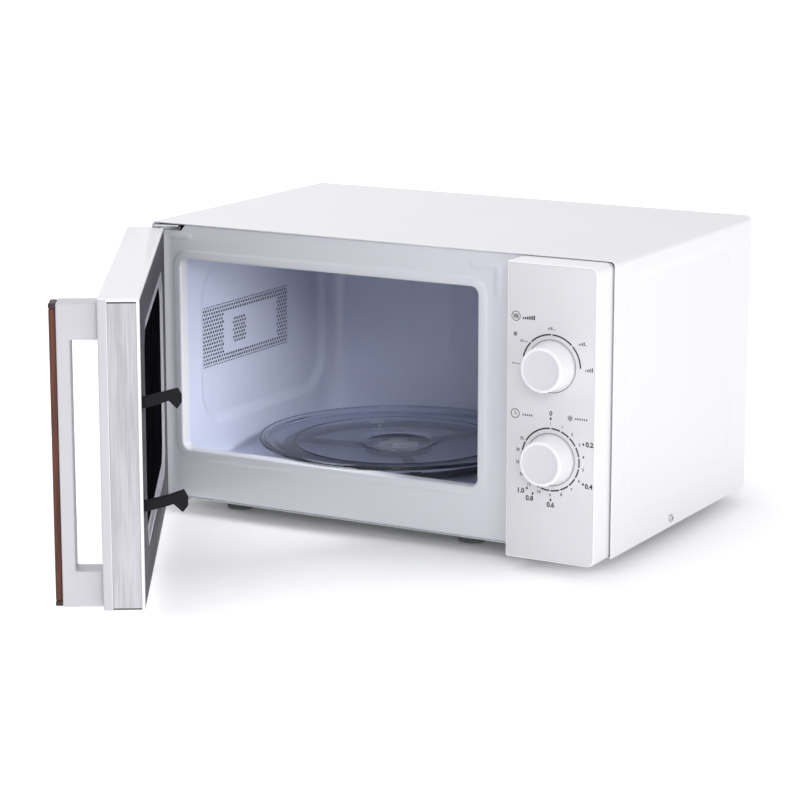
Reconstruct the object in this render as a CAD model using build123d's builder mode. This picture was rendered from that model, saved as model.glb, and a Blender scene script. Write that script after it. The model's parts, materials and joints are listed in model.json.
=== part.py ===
"""Countertop microwave oven with a mechanical timer: every separate piece, in millimetres.

+Z is up, +Y points into the oven and +X points to the control panel's side.
The origin is on the surface that the oven stands on, at the middle of its front left foot.
Fixed pieces are drawn in place. The door's pieces are drawn shut and then swung open about
the hinge, because the oven rests with its door open.
"""
from build123d import *
from math import cos, radians, sin
import os

os.makedirs("parts", exist_ok=True)

# ---- overall sizes
cabinet_width = 440.0
cabinet_depth = 278.5
roof_height = 255.0
foot_height = 12.0
sheet = 0.8
cabinet_corner = 5.0
roof_lip = 3.5             # how far the cabinet reaches ahead of the front plate
foot_inset_x = 64.0        # from the cabinet's left side to the front left foot
foot_inset_y = 35.0        # from the front plate's face to the front left foot

left = -foot_inset_x
right = left + cabinet_width
front = -foot_inset_y      # the face of the front plate
cabinet_front = front - roof_lip
back = cabinet_front + cabinet_depth
base_top = foot_height + 1.0
roof_under = roof_height - sheet

# ---- front plate and cooking chamber
opening_width = 288.0
opening_height = 167.0
opening_left = left + 28.0
opening_bottom = 56.0
opening_corner = 7.0
opening_right = opening_left + opening_width
opening_top = opening_bottom + opening_height
opening_mid_x = (opening_left + opening_right) / 2
plate_right = left + 357.4
plate_top = roof_under - 0.8
bead_rise = 0.9            # pressed beads and the opening's lip stand this proud
liner_sheet = 0.6
chamber_width = 296.0
chamber_back_room = 13.2   # between the chamber and the back of the cabinet
chamber_floor = 38.0
chamber_top = 236.0
chamber_corner = 17.0      # the two upright corners at the back
chamber_left = opening_mid_x - chamber_width / 2
chamber_right = chamber_left + chamber_width
chamber_front = front + sheet
chamber_back = back - chamber_back_room
chamber_depth = chamber_back - chamber_front

# ---- the dished side wall and its air holes
dish_depth = 5.0
dish_y0 = front + 36.0
dish_y1 = chamber_back - 13.8
dish_z0 = 66.0
dish_z1 = 210.0
dish_radius = 34.0
vent_y0 = front + 43.0
vent_y1 = front + 190.0
vent_z0 = 115.0
vent_z1 = 174.0
vent_blank_y0 = front + 78.5
vent_blank_y1 = front + 168.5
vent_blank_z0 = 124.5
vent_blank_z1 = 165.0
vent_pitch = 3.3
vent_hole_radius = 0.95

# ---- turntable
tray_room = 7.5            # around the tray, where the chamber is shortest
tray_front_gap = 1.0
tray_radius = chamber_depth / 2 - tray_room
tray_glass = 4.0
tray_rim_rise = 8.0
turn_x = opening_mid_x
turn_y = front + tray_front_gap + tray_radius
wheel_radius = 6.3
wheel_width = 7.0
wheel_gap = 0.2            # clearance over the floor and under the tray
ring_radius = tray_radius - 26.0   # to the middle of the wheels
ring_section = 4.0
shaft_radius = 3.5
tray_bottom = chamber_floor + 2 * wheel_gap + 2 * wheel_radius
wheel_height = chamber_floor + wheel_gap + wheel_radius

# ---- door, drawn shut
door_gap = 1.5             # between the door's inner face and the front plate
door_thick = 31.5
door_left = left + 5.0
door_right = left + 357.0
door_bottom = 10.5
door_top = 250.5
door_wall = 2.4
door_corner = 2.5
door_rest_angle = 58.9     # how far the door stands open at rest
hinge_x = left + 8.0
hinge_y = front - 8.0
pin_radius = 1.95
pin_clearance = 0.05
window_left = left + 42.0
window_right = left + 300.0
window_bottom = 48.0
window_top = 214.0
window_corner = 8.0
door_inner = front - door_gap
door_outer = door_inner - door_thick

# ---- handle
handle_left = left + 326.0
handle_width = 22.0
handle_gap = 21.0          # finger room between door and bar
bar_thick = 10.2
strip_thick = 5.4
handle_bottom = 12.0
handle_top = 245.5
post_height = 28.0
handle_right = handle_left + handle_width
bar_back = door_outer - handle_gap
bar_front = bar_back - bar_thick
handle_mid_x = handle_left + handle_width / 2

# ---- latch
hook_x = left + 346.0
hook_thick = 4.0
hook_low_z = 90.5
hook_high_z = 170.0
hook_low_reach = 31.5
hook_high_reach = 28.0
hook_travel = 4.5
hook_room = 2.6            # each side of a hook, for the arc that it comes in on

# ---- control panel
panel_left = left + 358.5
panel_right = right - 2.7
panel_face = front - 31.0
panel_bottom = 11.0
panel_top = 253.0
panel_back = front
panel_wall = 2.0
panel_corner = 6.0
overlay_thick = 0.6
overlay_border = 1.4
knob_x = left + 398.0
power_z = 171.2
timer_z = 95.5
knob_foot_radius = 20.3
knob_face_radius = 18.2
knob_depth = 18.8
knob_gap = 0.3
spindle_radius = 3.0
running_fit = 0.06


def save(piece, name, place=Location()):
    """Write one finished piece under its own name."""
    solid = place * piece.part
    solid.label = name
    export_step(solid, f"parts/{name}.step")


def block(x0, x1, y0, y1, z0, z1, mode=Mode.ADD):
    """A block between two corners, in the part that is being built."""
    with Locations(((x0 + x1) / 2, (y0 + y1) / 2, (z0 + z1) / 2)):
        Box(x1 - x0, y1 - y0, z1 - z0, mode=mode)


def rod(x, y, z, radius, length, axis="Z", mode=Mode.ADD):
    """A round rod that starts at a point and runs along +X, +Y or +Z."""
    turn = {"X": (0, 90, 0), "Y": (-90, 0, 0), "Z": (0, 0, 0)}[axis]
    with Locations(Location((x, y, z), turn)):
        Cylinder(radius, length, align=(Align.CENTER, Align.CENTER, Align.MIN), mode=mode)


def facing(y):
    """The upright plane at y that faces forward: its own x and y are the oven's X and Z."""
    return Plane.XZ.offset(-y)


def at(x0, x1, z0, z1):
    """The middle of a rectangle, for Locations."""
    return ((x0 + x1) / 2, (z0 + z1) / 2)


# ======================================================================= casing

# The cabinet is one folded sheet: roof and two sides, each side pressed in to stiffen it.
emboss_depth = 1.0
emboss_y = (front + 18.0, back - 35.0)
emboss_z = (46.0, 238.0)
emboss_radius = 14.0
cabinet_skirt = foot_height + 0.6
side_screw_y = front + 113.7
side_screw_z = 20.0
screw_radius = 1.5
screw_clearance = 0.15

with BuildPart() as outer_cabinet:
    with BuildSketch(facing(back)):
        with Locations(at(left, right, cabinet_skirt, roof_height)):
            Rectangle(cabinet_width, roof_height - cabinet_skirt)
    extrude(amount=cabinet_depth)
    fillet(outer_cabinet.edges().filter_by(Axis.Y).group_by(Axis.Z)[-1], cabinet_corner)
    with BuildSketch(facing(back)) as inside:
        with Locations(at(left + sheet, right - sheet, cabinet_skirt, roof_under)):
            Rectangle(cabinet_width - 2 * sheet, roof_under - cabinet_skirt)
        fillet(inside.vertices().group_by(Axis.Y)[-1], cabinet_corner - sheet)
    extrude(amount=cabinet_depth, mode=Mode.SUBTRACT)
    for face_x, inward in ((left, 1), (right, -1)):
        with BuildSketch(Plane.YZ.offset(face_x + inward * sheet)):
            with Locations(at(*emboss_y, *emboss_z)):
                RectangleRounded(emboss_y[1] - emboss_y[0], emboss_z[1] - emboss_z[0], emboss_radius)
        extrude(amount=inward * emboss_depth)
        with BuildSketch(Plane.YZ.offset(face_x)):
            with Locations(at(*emboss_y, *emboss_z)):
                RectangleRounded(
                    emboss_y[1] - emboss_y[0] - 2 * sheet,
                    emboss_z[1] - emboss_z[0] - 2 * sheet,
                    emboss_radius - sheet,
                )
        extrude(amount=inward * emboss_depth, mode=Mode.SUBTRACT)
        with Locations(Location((face_x, side_screw_y, side_screw_z), (0, 90, 0))):
            Cylinder(screw_radius + screw_clearance, 6 * sheet, mode=Mode.SUBTRACT)
save(outer_cabinet, "outer_cabinet")

# The base plate closes the underside. It has upturned sides, foot holes and air slots.
wall_gap = 0.2
base_left = left + sheet + wall_gap
base_right = right - sheet - wall_gap
base_back = back - 2.2
base_flange = 11.0
foot_places = (
    (0.0, 0.0),
    (230.0, 0.0),
    (0.0, 205.0),
    (312.0, 205.0),
)
foot_screw_radius = 2.0

with BuildPart() as base_plate:
    block(base_left, base_right, front, base_back, foot_height, base_top)
    block(base_left, base_left + 1.0, front + 20, base_back, base_top, base_top + base_flange)
    block(base_right - 1.0, base_right, front + 20, base_back, base_top, base_top + base_flange)
    with BuildSketch(Plane.XY.offset(foot_height)):
        with Locations(*foot_places):
            Circle(foot_screw_radius + screw_clearance)
        with Locations((right - 62, front + 178), (right - 62, front + 96), (left + 172, front + 215)):
            with GridLocations(0, 8, 1, 6):
                SlotOverall(56, 3.2)
    extrude(amount=1.0, mode=Mode.SUBTRACT)
    for side_x in (base_left, base_right):
        with Locations(Location((side_x, side_screw_y, side_screw_z), (0, 90, 0))):
            Cylinder(screw_radius + screw_clearance, 4, mode=Mode.SUBTRACT)
save(base_plate, "base_plate")

# The back plate stands inside the cabinet's rear edge, with a fan inlet and outlet slots.
fan_x = left + 381.0
fan_z = 190.0
fan_radius = 44.0
back_plate_y = back - 1.8
gland_x = right - 32.0
gland_z = 44.0
gland_radius = 6.0
back_screws = (
    (left + 14, 245.0),
    (left + 220, 245.0),
    (right - 14, 245.0),
    (left + 14, 26.0),
    (left + 220, 26.0),
    (right - 14, 26.0),
)

with BuildPart() as back_plate:
    with BuildSketch(facing(back_plate_y + sheet)) as back_outline:
        with Locations(at(base_left, base_right, base_top, roof_under - wall_gap)):
            Rectangle(base_right - base_left, roof_under - wall_gap - base_top)
        fillet(back_outline.vertices().group_by(Axis.Y)[-1], cabinet_corner)
        with Locations((fan_x, fan_z)):
            for ring, count in ((9, 8), (18, 14), (27, 20), (36, 28)):
                with PolarLocations(ring, count):
                    Circle(2.4, mode=Mode.SUBTRACT)
        with Locations((left + 70, 190), (left + 70, 110), (left + 172, 230)):
            with GridLocations(10, 0, 9, 1):
                SlotOverall(26, 3.4, rotation=90, mode=Mode.SUBTRACT)
        with Locations((gland_x, gland_z)):
            Circle(gland_radius, mode=Mode.SUBTRACT)
        with Locations(*back_screws):
            Circle(screw_radius + screw_clearance, mode=Mode.SUBTRACT)
    extrude(amount=sheet)
save(back_plate, "back_plate")

# The feet are four rubber cones, each with a recess that hides its screw.
foot_radius = 14.0
foot_taper = 2.0
recess_radius = 4.5
recess_depth = 5.0

with BuildPart() as feet:
    for foot_x, foot_y in foot_places:
        with Locations((foot_x, foot_y, foot_height / 2)):
            Cone(foot_radius - foot_taper, foot_radius, foot_height)
        rod(foot_x, foot_y, 0, recess_radius, recess_depth, mode=Mode.SUBTRACT)
        rod(foot_x, foot_y, 0, foot_screw_radius + screw_clearance, foot_height, mode=Mode.SUBTRACT)
save(feet, "feet")

with BuildPart() as foot_screws:
    for foot_x, foot_y in foot_places:
        rod(foot_x, foot_y, recess_depth - 2.0, 3.6, 2.0)
        rod(foot_x, foot_y, recess_depth, foot_screw_radius, foot_height + 3.0 - recess_depth)
save(foot_screws, "foot_screws")

# Sheet metal screws hold the cabinet to the back plate and to the base plate's sides.
screw_head_radius = 3.5
screw_head_rise = 2.0
screw_length = 7.0

with BuildPart() as cabinet_screws:
    for screw_x, screw_z in back_screws:
        rod(screw_x, back_plate_y + sheet, screw_z, screw_head_radius, screw_head_rise, "Y")
        rod(screw_x, back_plate_y + sheet - screw_length, screw_z, screw_radius, screw_length, "Y")
    rod(right, side_screw_y, side_screw_z, screw_head_radius, screw_head_rise, "X")
    rod(right - screw_length, side_screw_y, side_screw_z, screw_radius, screw_length, "X")
    rod(left - screw_head_rise, side_screw_y, side_screw_z, screw_head_radius, screw_head_rise, "X")
    rod(left, side_screw_y, side_screw_z, screw_radius, screw_length, "X")
    rims = cabinet_screws.edges().filter_by(GeomType.CIRCLE)
    rims = rims.filter_by(lambda rim: abs(rim.radius - screw_head_radius) < 0.01)
    outer_rims = rims.filter_by(
        lambda rim: rim.center().Y > back_plate_y + sheet + 1
        or abs(rim.center().X - (left + right) / 2) > cabinet_width / 2 + 1
    )
    fillet(outer_rims, screw_head_rise * 0.4)
save(cabinet_screws, "cabinet_screws")

# The mains lead leaves through a bushing. The lead itself isn't part of the model.
with BuildPart() as cord_gland:
    rod(gland_x, back_plate_y + sheet, gland_z, gland_radius + 3, 2.6, "Y")
    rod(gland_x, back_plate_y - 3, gland_z, gland_radius, 3 + sheet, "Y")
    rod(gland_x, back_plate_y - 3, gland_z, 3.6, 9, "Y", mode=Mode.SUBTRACT)
save(cord_gland, "cord_gland")

# ======================================================================= cooking chamber

# The front plate carries the chamber, the hinges and the latch.
latch_slot_x = (hook_x - hook_thick / 2 - hook_room, hook_x + hook_thick / 2 + hook_room)
latch_low_z = (hook_low_z - 10.5, hook_low_z + 19.0)
latch_high_z = (hook_high_z - 10.5, hook_high_z + 19.0)
lip_width = 9.0
notch_x = (left + 5.5, left + 32.0)
notch_depth = 6.0
bead_radius = 2.4

with BuildPart() as front_plate:
    with BuildSketch(facing(chamber_front)) as plate_outline:
        with Locations(at(base_left, plate_right, base_top, plate_top)):
            Rectangle(plate_right - base_left, plate_top - base_top)
        fillet(plate_outline.vertices().group_by(Axis.Y)[-1].sort_by(Axis.X)[0], cabinet_corner)
    extrude(amount=sheet)
    with BuildSketch(facing(front)):
        with Locations(at(opening_left, opening_right, opening_bottom, opening_top)):
            RectangleRounded(
                opening_width + 2 * lip_width, opening_height + 2 * lip_width, opening_corner + lip_width
            )
        with Locations((left + 22, 242.6)):
            SlotOverall(33, 2 * bead_radius)
        with Locations((left + 322, 241.6)):
            SlotOverall(26, 2 * bead_radius)
        with Locations((left + 334, 229.5)):
            SlotOverall(24, 2 * bead_radius, rotation=90)
    extrude(amount=bead_rise, taper=30)
    with BuildSketch(facing(chamber_front)):
        with Locations(at(opening_left, opening_right, opening_bottom, opening_top)):
            RectangleRounded(opening_width, opening_height, opening_corner)
        for slot_z in (latch_low_z, latch_high_z):
            with Locations(at(*latch_slot_x, *slot_z)):
                RectangleRounded(latch_slot_x[1] - latch_slot_x[0], slot_z[1] - slot_z[0], 1.5)
        with BuildLine():
            Polyline(
                (notch_x[0], plate_top + 1),
                (notch_x[0], plate_top - notch_depth),
                (notch_x[1] - 5, plate_top - notch_depth),
                (notch_x[1] + 1, plate_top + 1),
                close=True,
            )
        make_face()
    extrude(amount=sheet + bead_rise + 1, mode=Mode.SUBTRACT)
    block(base_left, base_left + sheet, chamber_front, chamber_front + 14, base_top, plate_top - 14)
save(front_plate, "front_plate")

# The liner is the chamber's pressed wall, with its left side dished outwards.
# A floor and a roof are welded to its edges.
dish_flare = 3.5
motor_hole_radius = 7.0
window_y = (chamber_back - 115.8, chamber_back - 55.8)
window_z = (140.0, 210.0)


def chamber_plan(z, grow):
    """The chamber's plan at one height, with its two round back corners."""
    with BuildSketch(Plane.XY.offset(z)) as plan:
        with Locations(at(chamber_left, chamber_right, chamber_front, chamber_back + grow)):
            Rectangle(chamber_width + 2 * grow, chamber_depth + grow)
        fillet(plan.vertices().group_by(Axis.Y)[-1], chamber_corner + grow)
    return plan.sketch


def dish_outline(x, grow):
    """The dish's outline on the upright plane at x."""
    with BuildSketch(Plane.YZ.offset(x)) as outline:
        with Locations(at(dish_y0, dish_y1, dish_z0, dish_z1)):
            RectangleRounded(
                dish_y1 - dish_y0 + 2 * grow, dish_z1 - dish_z0 + 2 * grow, dish_radius + grow
            )
    return outline.sketch


dish_floor = chamber_left - dish_depth

with BuildPart() as cavity_liner:
    extrude(chamber_plan(chamber_floor, liner_sheet), amount=chamber_top - chamber_floor)
    loft([
        dish_outline(chamber_left - liner_sheet, liner_sheet),
        dish_outline(dish_floor - liner_sheet, liner_sheet - dish_flare),
    ])
    extrude(chamber_plan(chamber_floor, 0), amount=chamber_top - chamber_floor, mode=Mode.SUBTRACT)
    loft(
        [dish_outline(chamber_left, 0), dish_outline(dish_floor, -dish_flare)],
        mode=Mode.SUBTRACT,
    )
    block(dish_floor - 2, dish_floor + 1, vent_y0, vent_y1, vent_z0, vent_z1, mode=Mode.SUBTRACT)
    block(chamber_right - 1, chamber_right + 2, *window_y, *window_z, mode=Mode.SUBTRACT)
save(cavity_liner, "cavity_liner")

with BuildPart() as cavity_floor:
    extrude(chamber_plan(chamber_floor - liner_sheet, liner_sheet), amount=liner_sheet)
    rod(turn_x, turn_y, chamber_floor - 2, motor_hole_radius, 4, mode=Mode.SUBTRACT)
save(cavity_floor, "cavity_floor")

with BuildPart() as cavity_roof:
    extrude(chamber_plan(chamber_top, liner_sheet), amount=liner_sheet)
save(cavity_roof, "cavity_roof")

# The air holes of the left wall: a ring of small holes with a block of them in the middle.
vent_mid = at(vent_y0, vent_y1, vent_z0, vent_z1)
vent_columns = int((vent_y1 - vent_y0 - 4) / vent_pitch)
vent_rows = int((vent_z1 - vent_z0 - 3) / (vent_pitch * 0.866))
patch_y = (vent_blank_y0 + 17.0, vent_blank_y0 + 38.0)
patch_z = (135.0, 157.0)


def vent_hole(y, z):
    """True where the wall is pierced: around the blank field, and in the patch inside it."""
    blank = vent_blank_y0 < y < vent_blank_y1 and vent_blank_z0 < z < vent_blank_z1
    patch = patch_y[0] < y < patch_y[1] and patch_z[0] < z < patch_z[1]
    return patch or not blank


vent_places = [
    (y, z)
    for row in range(vent_rows)
    for z in [vent_mid[1] + (row - (vent_rows - 1) / 2) * vent_pitch * 0.866]
    for column in range(vent_columns - row % 2)
    for y in [vent_mid[0] + (column - (vent_columns - 1 - row % 2) / 2) * vent_pitch]
    if vent_hole(y, z)
]

with BuildPart() as cavity_vent_plate:
    with BuildSketch(Plane.YZ.offset(dish_floor - liner_sheet)):
        with Locations(vent_mid):
            Rectangle(vent_y1 - vent_y0, vent_z1 - vent_z0)
        with Locations(*vent_places):
            Circle(vent_hole_radius, mode=Mode.SUBTRACT)
    extrude(amount=liner_sheet)
save(cavity_vent_plate, "cavity_vent_plate")
print(f"air holes in the side wall: {len(vent_places)}")

# The mica sheet covers the microwave inlet inside the chamber.
mica_thick = 0.5
mica_overlap = 9.0

with BuildPart() as waveguide_cover:
    block(
        chamber_right - mica_thick, chamber_right,
        window_y[0] - mica_overlap, window_y[1] + mica_overlap,
        window_z[0] - mica_overlap, window_z[1] + mica_overlap,
    )
    fillet(waveguide_cover.edges().filter_by(Axis.X), 5)
save(waveguide_cover, "waveguide_cover")

# ======================================================================= microwave generator

duct_x = (chamber_right + liner_sheet, left + 360.0)
duct_y = (chamber_back - 139.8, chamber_back - 47.8)
duct_z = (134.0, 216.0)
antenna_radius = 9.5
tube_y = (duct_y[0] + duct_y[1]) / 2
tube_z = (duct_z[0] + duct_z[1]) / 2

with BuildPart() as waveguide:
    block(*duct_x, *duct_y, *duct_z)
    block(
        duct_x[0] - 1, duct_x[1] - 1.0, duct_y[0] + 1, duct_y[1] - 1, duct_z[0] + 1, duct_z[1] - 1,
        mode=Mode.SUBTRACT,
    )
    rod(duct_x[1] - 3, tube_y, tube_z, antenna_radius + 6, 6, "X", mode=Mode.SUBTRACT)
save(waveguide, "waveguide")

yoke_x = (duct_x[1], duct_x[1] + 58.0)
yoke_wall = 1.6
fin_count = 6
fin_thick = 0.8
anode_radius = 17.0

with BuildPart() as magnetron_yoke:
    block(*yoke_x, *duct_y, *duct_z)
    block(
        yoke_x[0] + yoke_wall, yoke_x[1] - yoke_wall, duct_y[0] - 1, duct_y[1] + 1,
        duct_z[0] + yoke_wall, duct_z[1] - yoke_wall, mode=Mode.SUBTRACT,
    )
    rod(yoke_x[0] - 1, tube_y, tube_z, antenna_radius + 0.5, 4, "X", mode=Mode.SUBTRACT)
save(magnetron_yoke, "magnetron_yoke")

with BuildPart() as magnetron_tube:
    rod(yoke_x[0] + yoke_wall, tube_y, tube_z, anode_radius, yoke_x[1] - yoke_x[0] - 2 * yoke_wall, "X")
    for fin in range(fin_count):
        fin_x = yoke_x[0] + 12 + fin * 7.0
        block(
            fin_x, fin_x + fin_thick, duct_y[0] + 6, duct_y[1] - 6,
            duct_z[0] + yoke_wall + 0.4, duct_z[1] - yoke_wall - 0.4,
        )
    rod(duct_x[1] - 22, tube_y, tube_z, antenna_radius, 22 + yoke_wall, "X")
    fillet(magnetron_tube.edges().group_by(Axis.X)[0], 3)
save(magnetron_tube, "magnetron_tube")

with BuildPart() as magnetron_filter_box:
    block(yoke_x[1], yoke_x[1] + 17, duct_y[0] + 20, duct_y[1] - 20, duct_z[0] + 10, duct_z[1] - 10)
    fillet(magnetron_filter_box.edges().filter_by(Axis.X), 3)
save(magnetron_filter_box, "magnetron_filter_box")

with BuildPart() as thermal_cutout:
    rod(yoke_x[0] + 28, duct_y[0] + 30, duct_z[1], 8, 9)
    block(yoke_x[0] + 18, yoke_x[0] + 38, duct_y[0] + 27, duct_y[0] + 33, duct_z[1] + 9, duct_z[1] + 10)
save(thermal_cutout, "thermal_cutout")

# The high voltage transformer: a laminated core with two windings around its middle leg.
core_x = (left + 338.0, left + 434.0)
core_y = (front + 62.0, front + 112.0)
core_z = (base_top, base_top + 82.0)
core_window = 16.0
core_yoke = 16.0
core_mid_x = (core_x[0] + core_x[1]) / 2
leg_half = (core_x[1] - core_x[0]) / 2 - core_yoke - core_window
coil_gap = 0.4
coil_bulge = 14.0

with BuildPart() as transformer_core:
    block(*core_x, *core_y, *core_z)
    for side in (-1, 1):
        window_mid = core_mid_x + side * (leg_half + core_window / 2)
        block(
            window_mid - core_window / 2, window_mid + core_window / 2, core_y[0] - 1, core_y[1] + 1,
            core_z[0] + core_yoke, core_z[1] - core_yoke, mode=Mode.SUBTRACT,
        )
save(transformer_core, "transformer_core")

coil_height = (core_z[1] - core_z[0] - 2 * core_yoke - 3 * coil_gap) / 2
core_stack = core_y[1] - core_y[0]
with BuildPart() as transformer_windings:
    for coil in range(2):
        coil_z = core_z[0] + core_yoke + coil_gap + coil * (coil_height + coil_gap)
        with BuildSketch(Plane.XY.offset(coil_z)):
            with Locations((core_mid_x, (core_y[0] + core_y[1]) / 2)):
                RectangleRounded(
                    2 * (leg_half + core_window - coil_gap), core_stack + 2 * coil_bulge, 10
                )
                Rectangle(
                    2 * leg_half + 2 * coil_gap, core_stack + 2 * coil_gap, mode=Mode.SUBTRACT
                )
        extrude(amount=coil_height)
save(transformer_windings, "transformer_windings")

# The high voltage capacitor lies under a strap beside the transformer.
can_x = left + 368.0
can_z = base_top + 18.0
can_y = (back_plate_y - 130.2, back_plate_y - 45.2)
can_wide = 52.0
can_high = 34.0

with BuildPart() as capacitor:
    with BuildSketch(facing(can_y[1])):
        with Locations((can_x, can_z)):
            SlotOverall(can_wide, can_high)
    extrude(amount=can_y[1] - can_y[0])
    fillet(capacitor.edges().group_by(Axis.Y)[-1], 2)
    for terminal_x in (can_x - 11, can_x + 11):
        rod(terminal_x, can_y[0] - 5, can_z, 5, 5, "Y")
        block(
            terminal_x - 3, terminal_x + 3, can_y[0] - 15, can_y[0] - 5, can_z - 0.4, can_z + 0.4,
        )
save(capacitor, "capacitor")

strap_y = (can_y[0] + 40.0, can_y[0] + 56.0)
with BuildPart() as capacitor_strap:
    with BuildSketch(facing(strap_y[1])):
        with Locations((can_x, can_z)):
            SlotOverall(can_wide + 2, can_high + 2)
            SlotOverall(can_wide, can_high, mode=Mode.SUBTRACT)
        with Locations(at(can_x + can_wide / 2 + 0.6, can_x + can_wide / 2 + 18, base_top, base_top + 1)):
            Rectangle(17.4, 1.0)
        with Locations(at(can_x + can_wide / 2, can_x + can_wide / 2 + 1.2, base_top, can_z)):
            Rectangle(1.2, can_z - base_top)
    extrude(amount=strap_y[1] - strap_y[0])
save(capacitor_strap, "capacitor_strap")

with BuildPart() as hv_diode:
    rod(can_x + can_wide / 2 + 14, can_y[0] + 4, base_top + 6, 3.2, 24, "Y")
    block(
        can_x + can_wide / 2 + 10, can_x + can_wide / 2 + 18, can_y[0] + 28, can_y[0] + 29,
        base_top, base_top + 11,
    )
save(hv_diode, "hv_diode")

# ======================================================================= cooling fan

shroud_y = back_plate_y - 37.2
shroud_thick = 1.6
fan_clearance = 3.0
hub_radius = 12.0
blade_count = 5
blade_depth = 15.0
fan_shaft_radius = 1.6
fan_y0 = shroud_y - 9.0
motor_front = shroud_y + 10.0
motor_back = motor_front + 18.0

with BuildPart() as fan_shroud:
    with BuildSketch(facing(shroud_y + shroud_thick)):
        with Locations(at(left + 332, base_right - 2.2, 112, roof_under - 1)):
            Rectangle(base_right - 2.2 - left - 332, roof_under - 1 - 112)
        with Locations((fan_x, fan_z)):
            Circle(fan_radius + fan_clearance, mode=Mode.SUBTRACT)
    extrude(amount=shroud_thick)
    with BuildSketch(facing(shroud_y + shroud_thick)):
        with Locations((fan_x, fan_z)):
            Circle(fan_radius + fan_clearance + 1.6)
            Circle(fan_radius + fan_clearance, mode=Mode.SUBTRACT)
    extrude(amount=10)
    for side in (-1, 1):
        post_x = fan_x + side * (fan_radius + fan_clearance + 4.5)
        block(post_x - 3, post_x + 3, shroud_y + shroud_thick, motor_front, fan_z - 6, fan_z + 6)
    block(
        fan_x - fan_radius - fan_clearance - 7.5, fan_x + fan_radius + fan_clearance + 7.5,
        motor_front, motor_front + 1.2, fan_z - 6, fan_z + 6,
    )
    rod(fan_x, motor_front - 1, fan_z, fan_shaft_radius + 2.4, 4, "Y", mode=Mode.SUBTRACT)
save(fan_shroud, "fan_shroud")

with BuildPart() as fan_motor:
    block(fan_x - 25, fan_x + 25, motor_front + 1.2, motor_back, fan_z - 21, fan_z + 21)
    block(
        fan_x - 15, fan_x + 15, motor_front + 0.5, motor_back + 1, fan_z - 15, fan_z + 2,
        mode=Mode.SUBTRACT,
    )
    rod(fan_x, motor_front + 1.2, fan_z, 9, motor_back - motor_front - 1.2, "Y")
    rod(fan_x, motor_front - 2, fan_z, fan_shaft_radius + running_fit, 14, "Y", mode=Mode.SUBTRACT)
    rod(fan_x - 9.5, motor_front + 9, fan_z - 19, 7.5, 19, "X")
save(fan_motor, "fan_motor")

with BuildPart() as fan_blade:
    rod(fan_x, fan_y0, fan_z, hub_radius, blade_depth, "Y")
    rod(fan_x, fan_y0, fan_z, fan_shaft_radius, motor_front + 10 - fan_y0, "Y")
    for blade in range(blade_count):
        turn = blade * 360 / blade_count
        spoke = Plane(
            origin=(fan_x, fan_y0 + blade_depth / 2, fan_z),
            x_dir=(0, 1, 0),
            z_dir=(cos(radians(turn)), 0, sin(radians(turn))),
        )
        with BuildSketch(spoke.offset(hub_radius - 2)) as blade_root:
            Rectangle(blade_depth - 2, 1.4, rotation=50)
        with BuildSketch(spoke.offset(fan_radius - 1.5)) as blade_tip:
            Rectangle(blade_depth + 6, 1.2, rotation=28)
        loft([blade_root.sketch, blade_tip.sketch])
save(fan_blade, "fan_blade")

# ======================================================================= lamp and filter board

lamp_y = front + 62.0
lamp_x = chamber_right + liner_sheet + 14.0
lamp_z = 218.0

with BuildPart() as lamp_holder:
    block(chamber_right + liner_sheet, lamp_x + 13, lamp_y - 14, lamp_y, lamp_z - 13, lamp_z + 13)
    fillet(lamp_holder.edges().filter_by(Axis.Y), 2)
save(lamp_holder, "lamp_holder")

with BuildPart() as cavity_lamp:
    with BuildSketch(Plane((lamp_x, lamp_y, lamp_z), x_dir=(1, 0, 0), z_dir=(0, 0, 1))):
        with BuildLine():
            Polyline((0, 40), (0, 0), (7, 0), (7, 8))
            Spline((7, 8), (11, 22), (0, 40), tangents=((0.3, 1), (-1, 0)))
        make_face()
    revolve(axis=Axis((lamp_x, lamp_y, lamp_z), (0, 1, 0)))
save(cavity_lamp, "cavity_lamp")

board_y = back_plate_y - 12.0
with BuildPart() as filter_board:
    block(left + 338, left + 396, board_y, board_y + 1.6, 24, 96)
    for spacer_x in (left + 342, left + 392):
        rod(spacer_x, board_y + 1.6, 28, 2.5, 10.4, "Y")
    rod(left + 354, board_y - 12, 76, 8, 12, "Y")
    block(left + 368, left + 388, board_y - 9, board_y, 66, 86)
    rod(left + 350, board_y - 4, 50, 3, 30, "X")
save(filter_board, "filter_board")

# ======================================================================= turntable

motor_radius = 24.5
motor_top = chamber_floor - liner_sheet - 3.0
motor_thick = 15.0
coupler_top = tray_bottom - 0.3
lobe_reach = 20.0
lobe_width = 8.0

with BuildPart() as turntable_motor:
    rod(turn_x, turn_y, motor_top - motor_thick, motor_radius, motor_thick)
    for side in (-1, 1):
        ear_x = turn_x + side * (motor_radius + 4)
        block(
            min(turn_x + side * 18, ear_x + side * 5), max(turn_x + side * 18, ear_x + side * 5),
            turn_y - 5, turn_y + 5, motor_top - 1.2, motor_top,
        )
        rod(ear_x, turn_y, motor_top, 3.5, 3.0)
    rod(turn_x, turn_y, motor_top - 12, shaft_radius + running_fit, 13, mode=Mode.SUBTRACT)
save(turntable_motor, "turntable_motor")

with BuildPart() as turntable_shaft:
    rod(turn_x, turn_y, motor_top - 11, shaft_radius, coupler_top - 2 - motor_top + 11)
save(turntable_shaft, "turntable_shaft")

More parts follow.
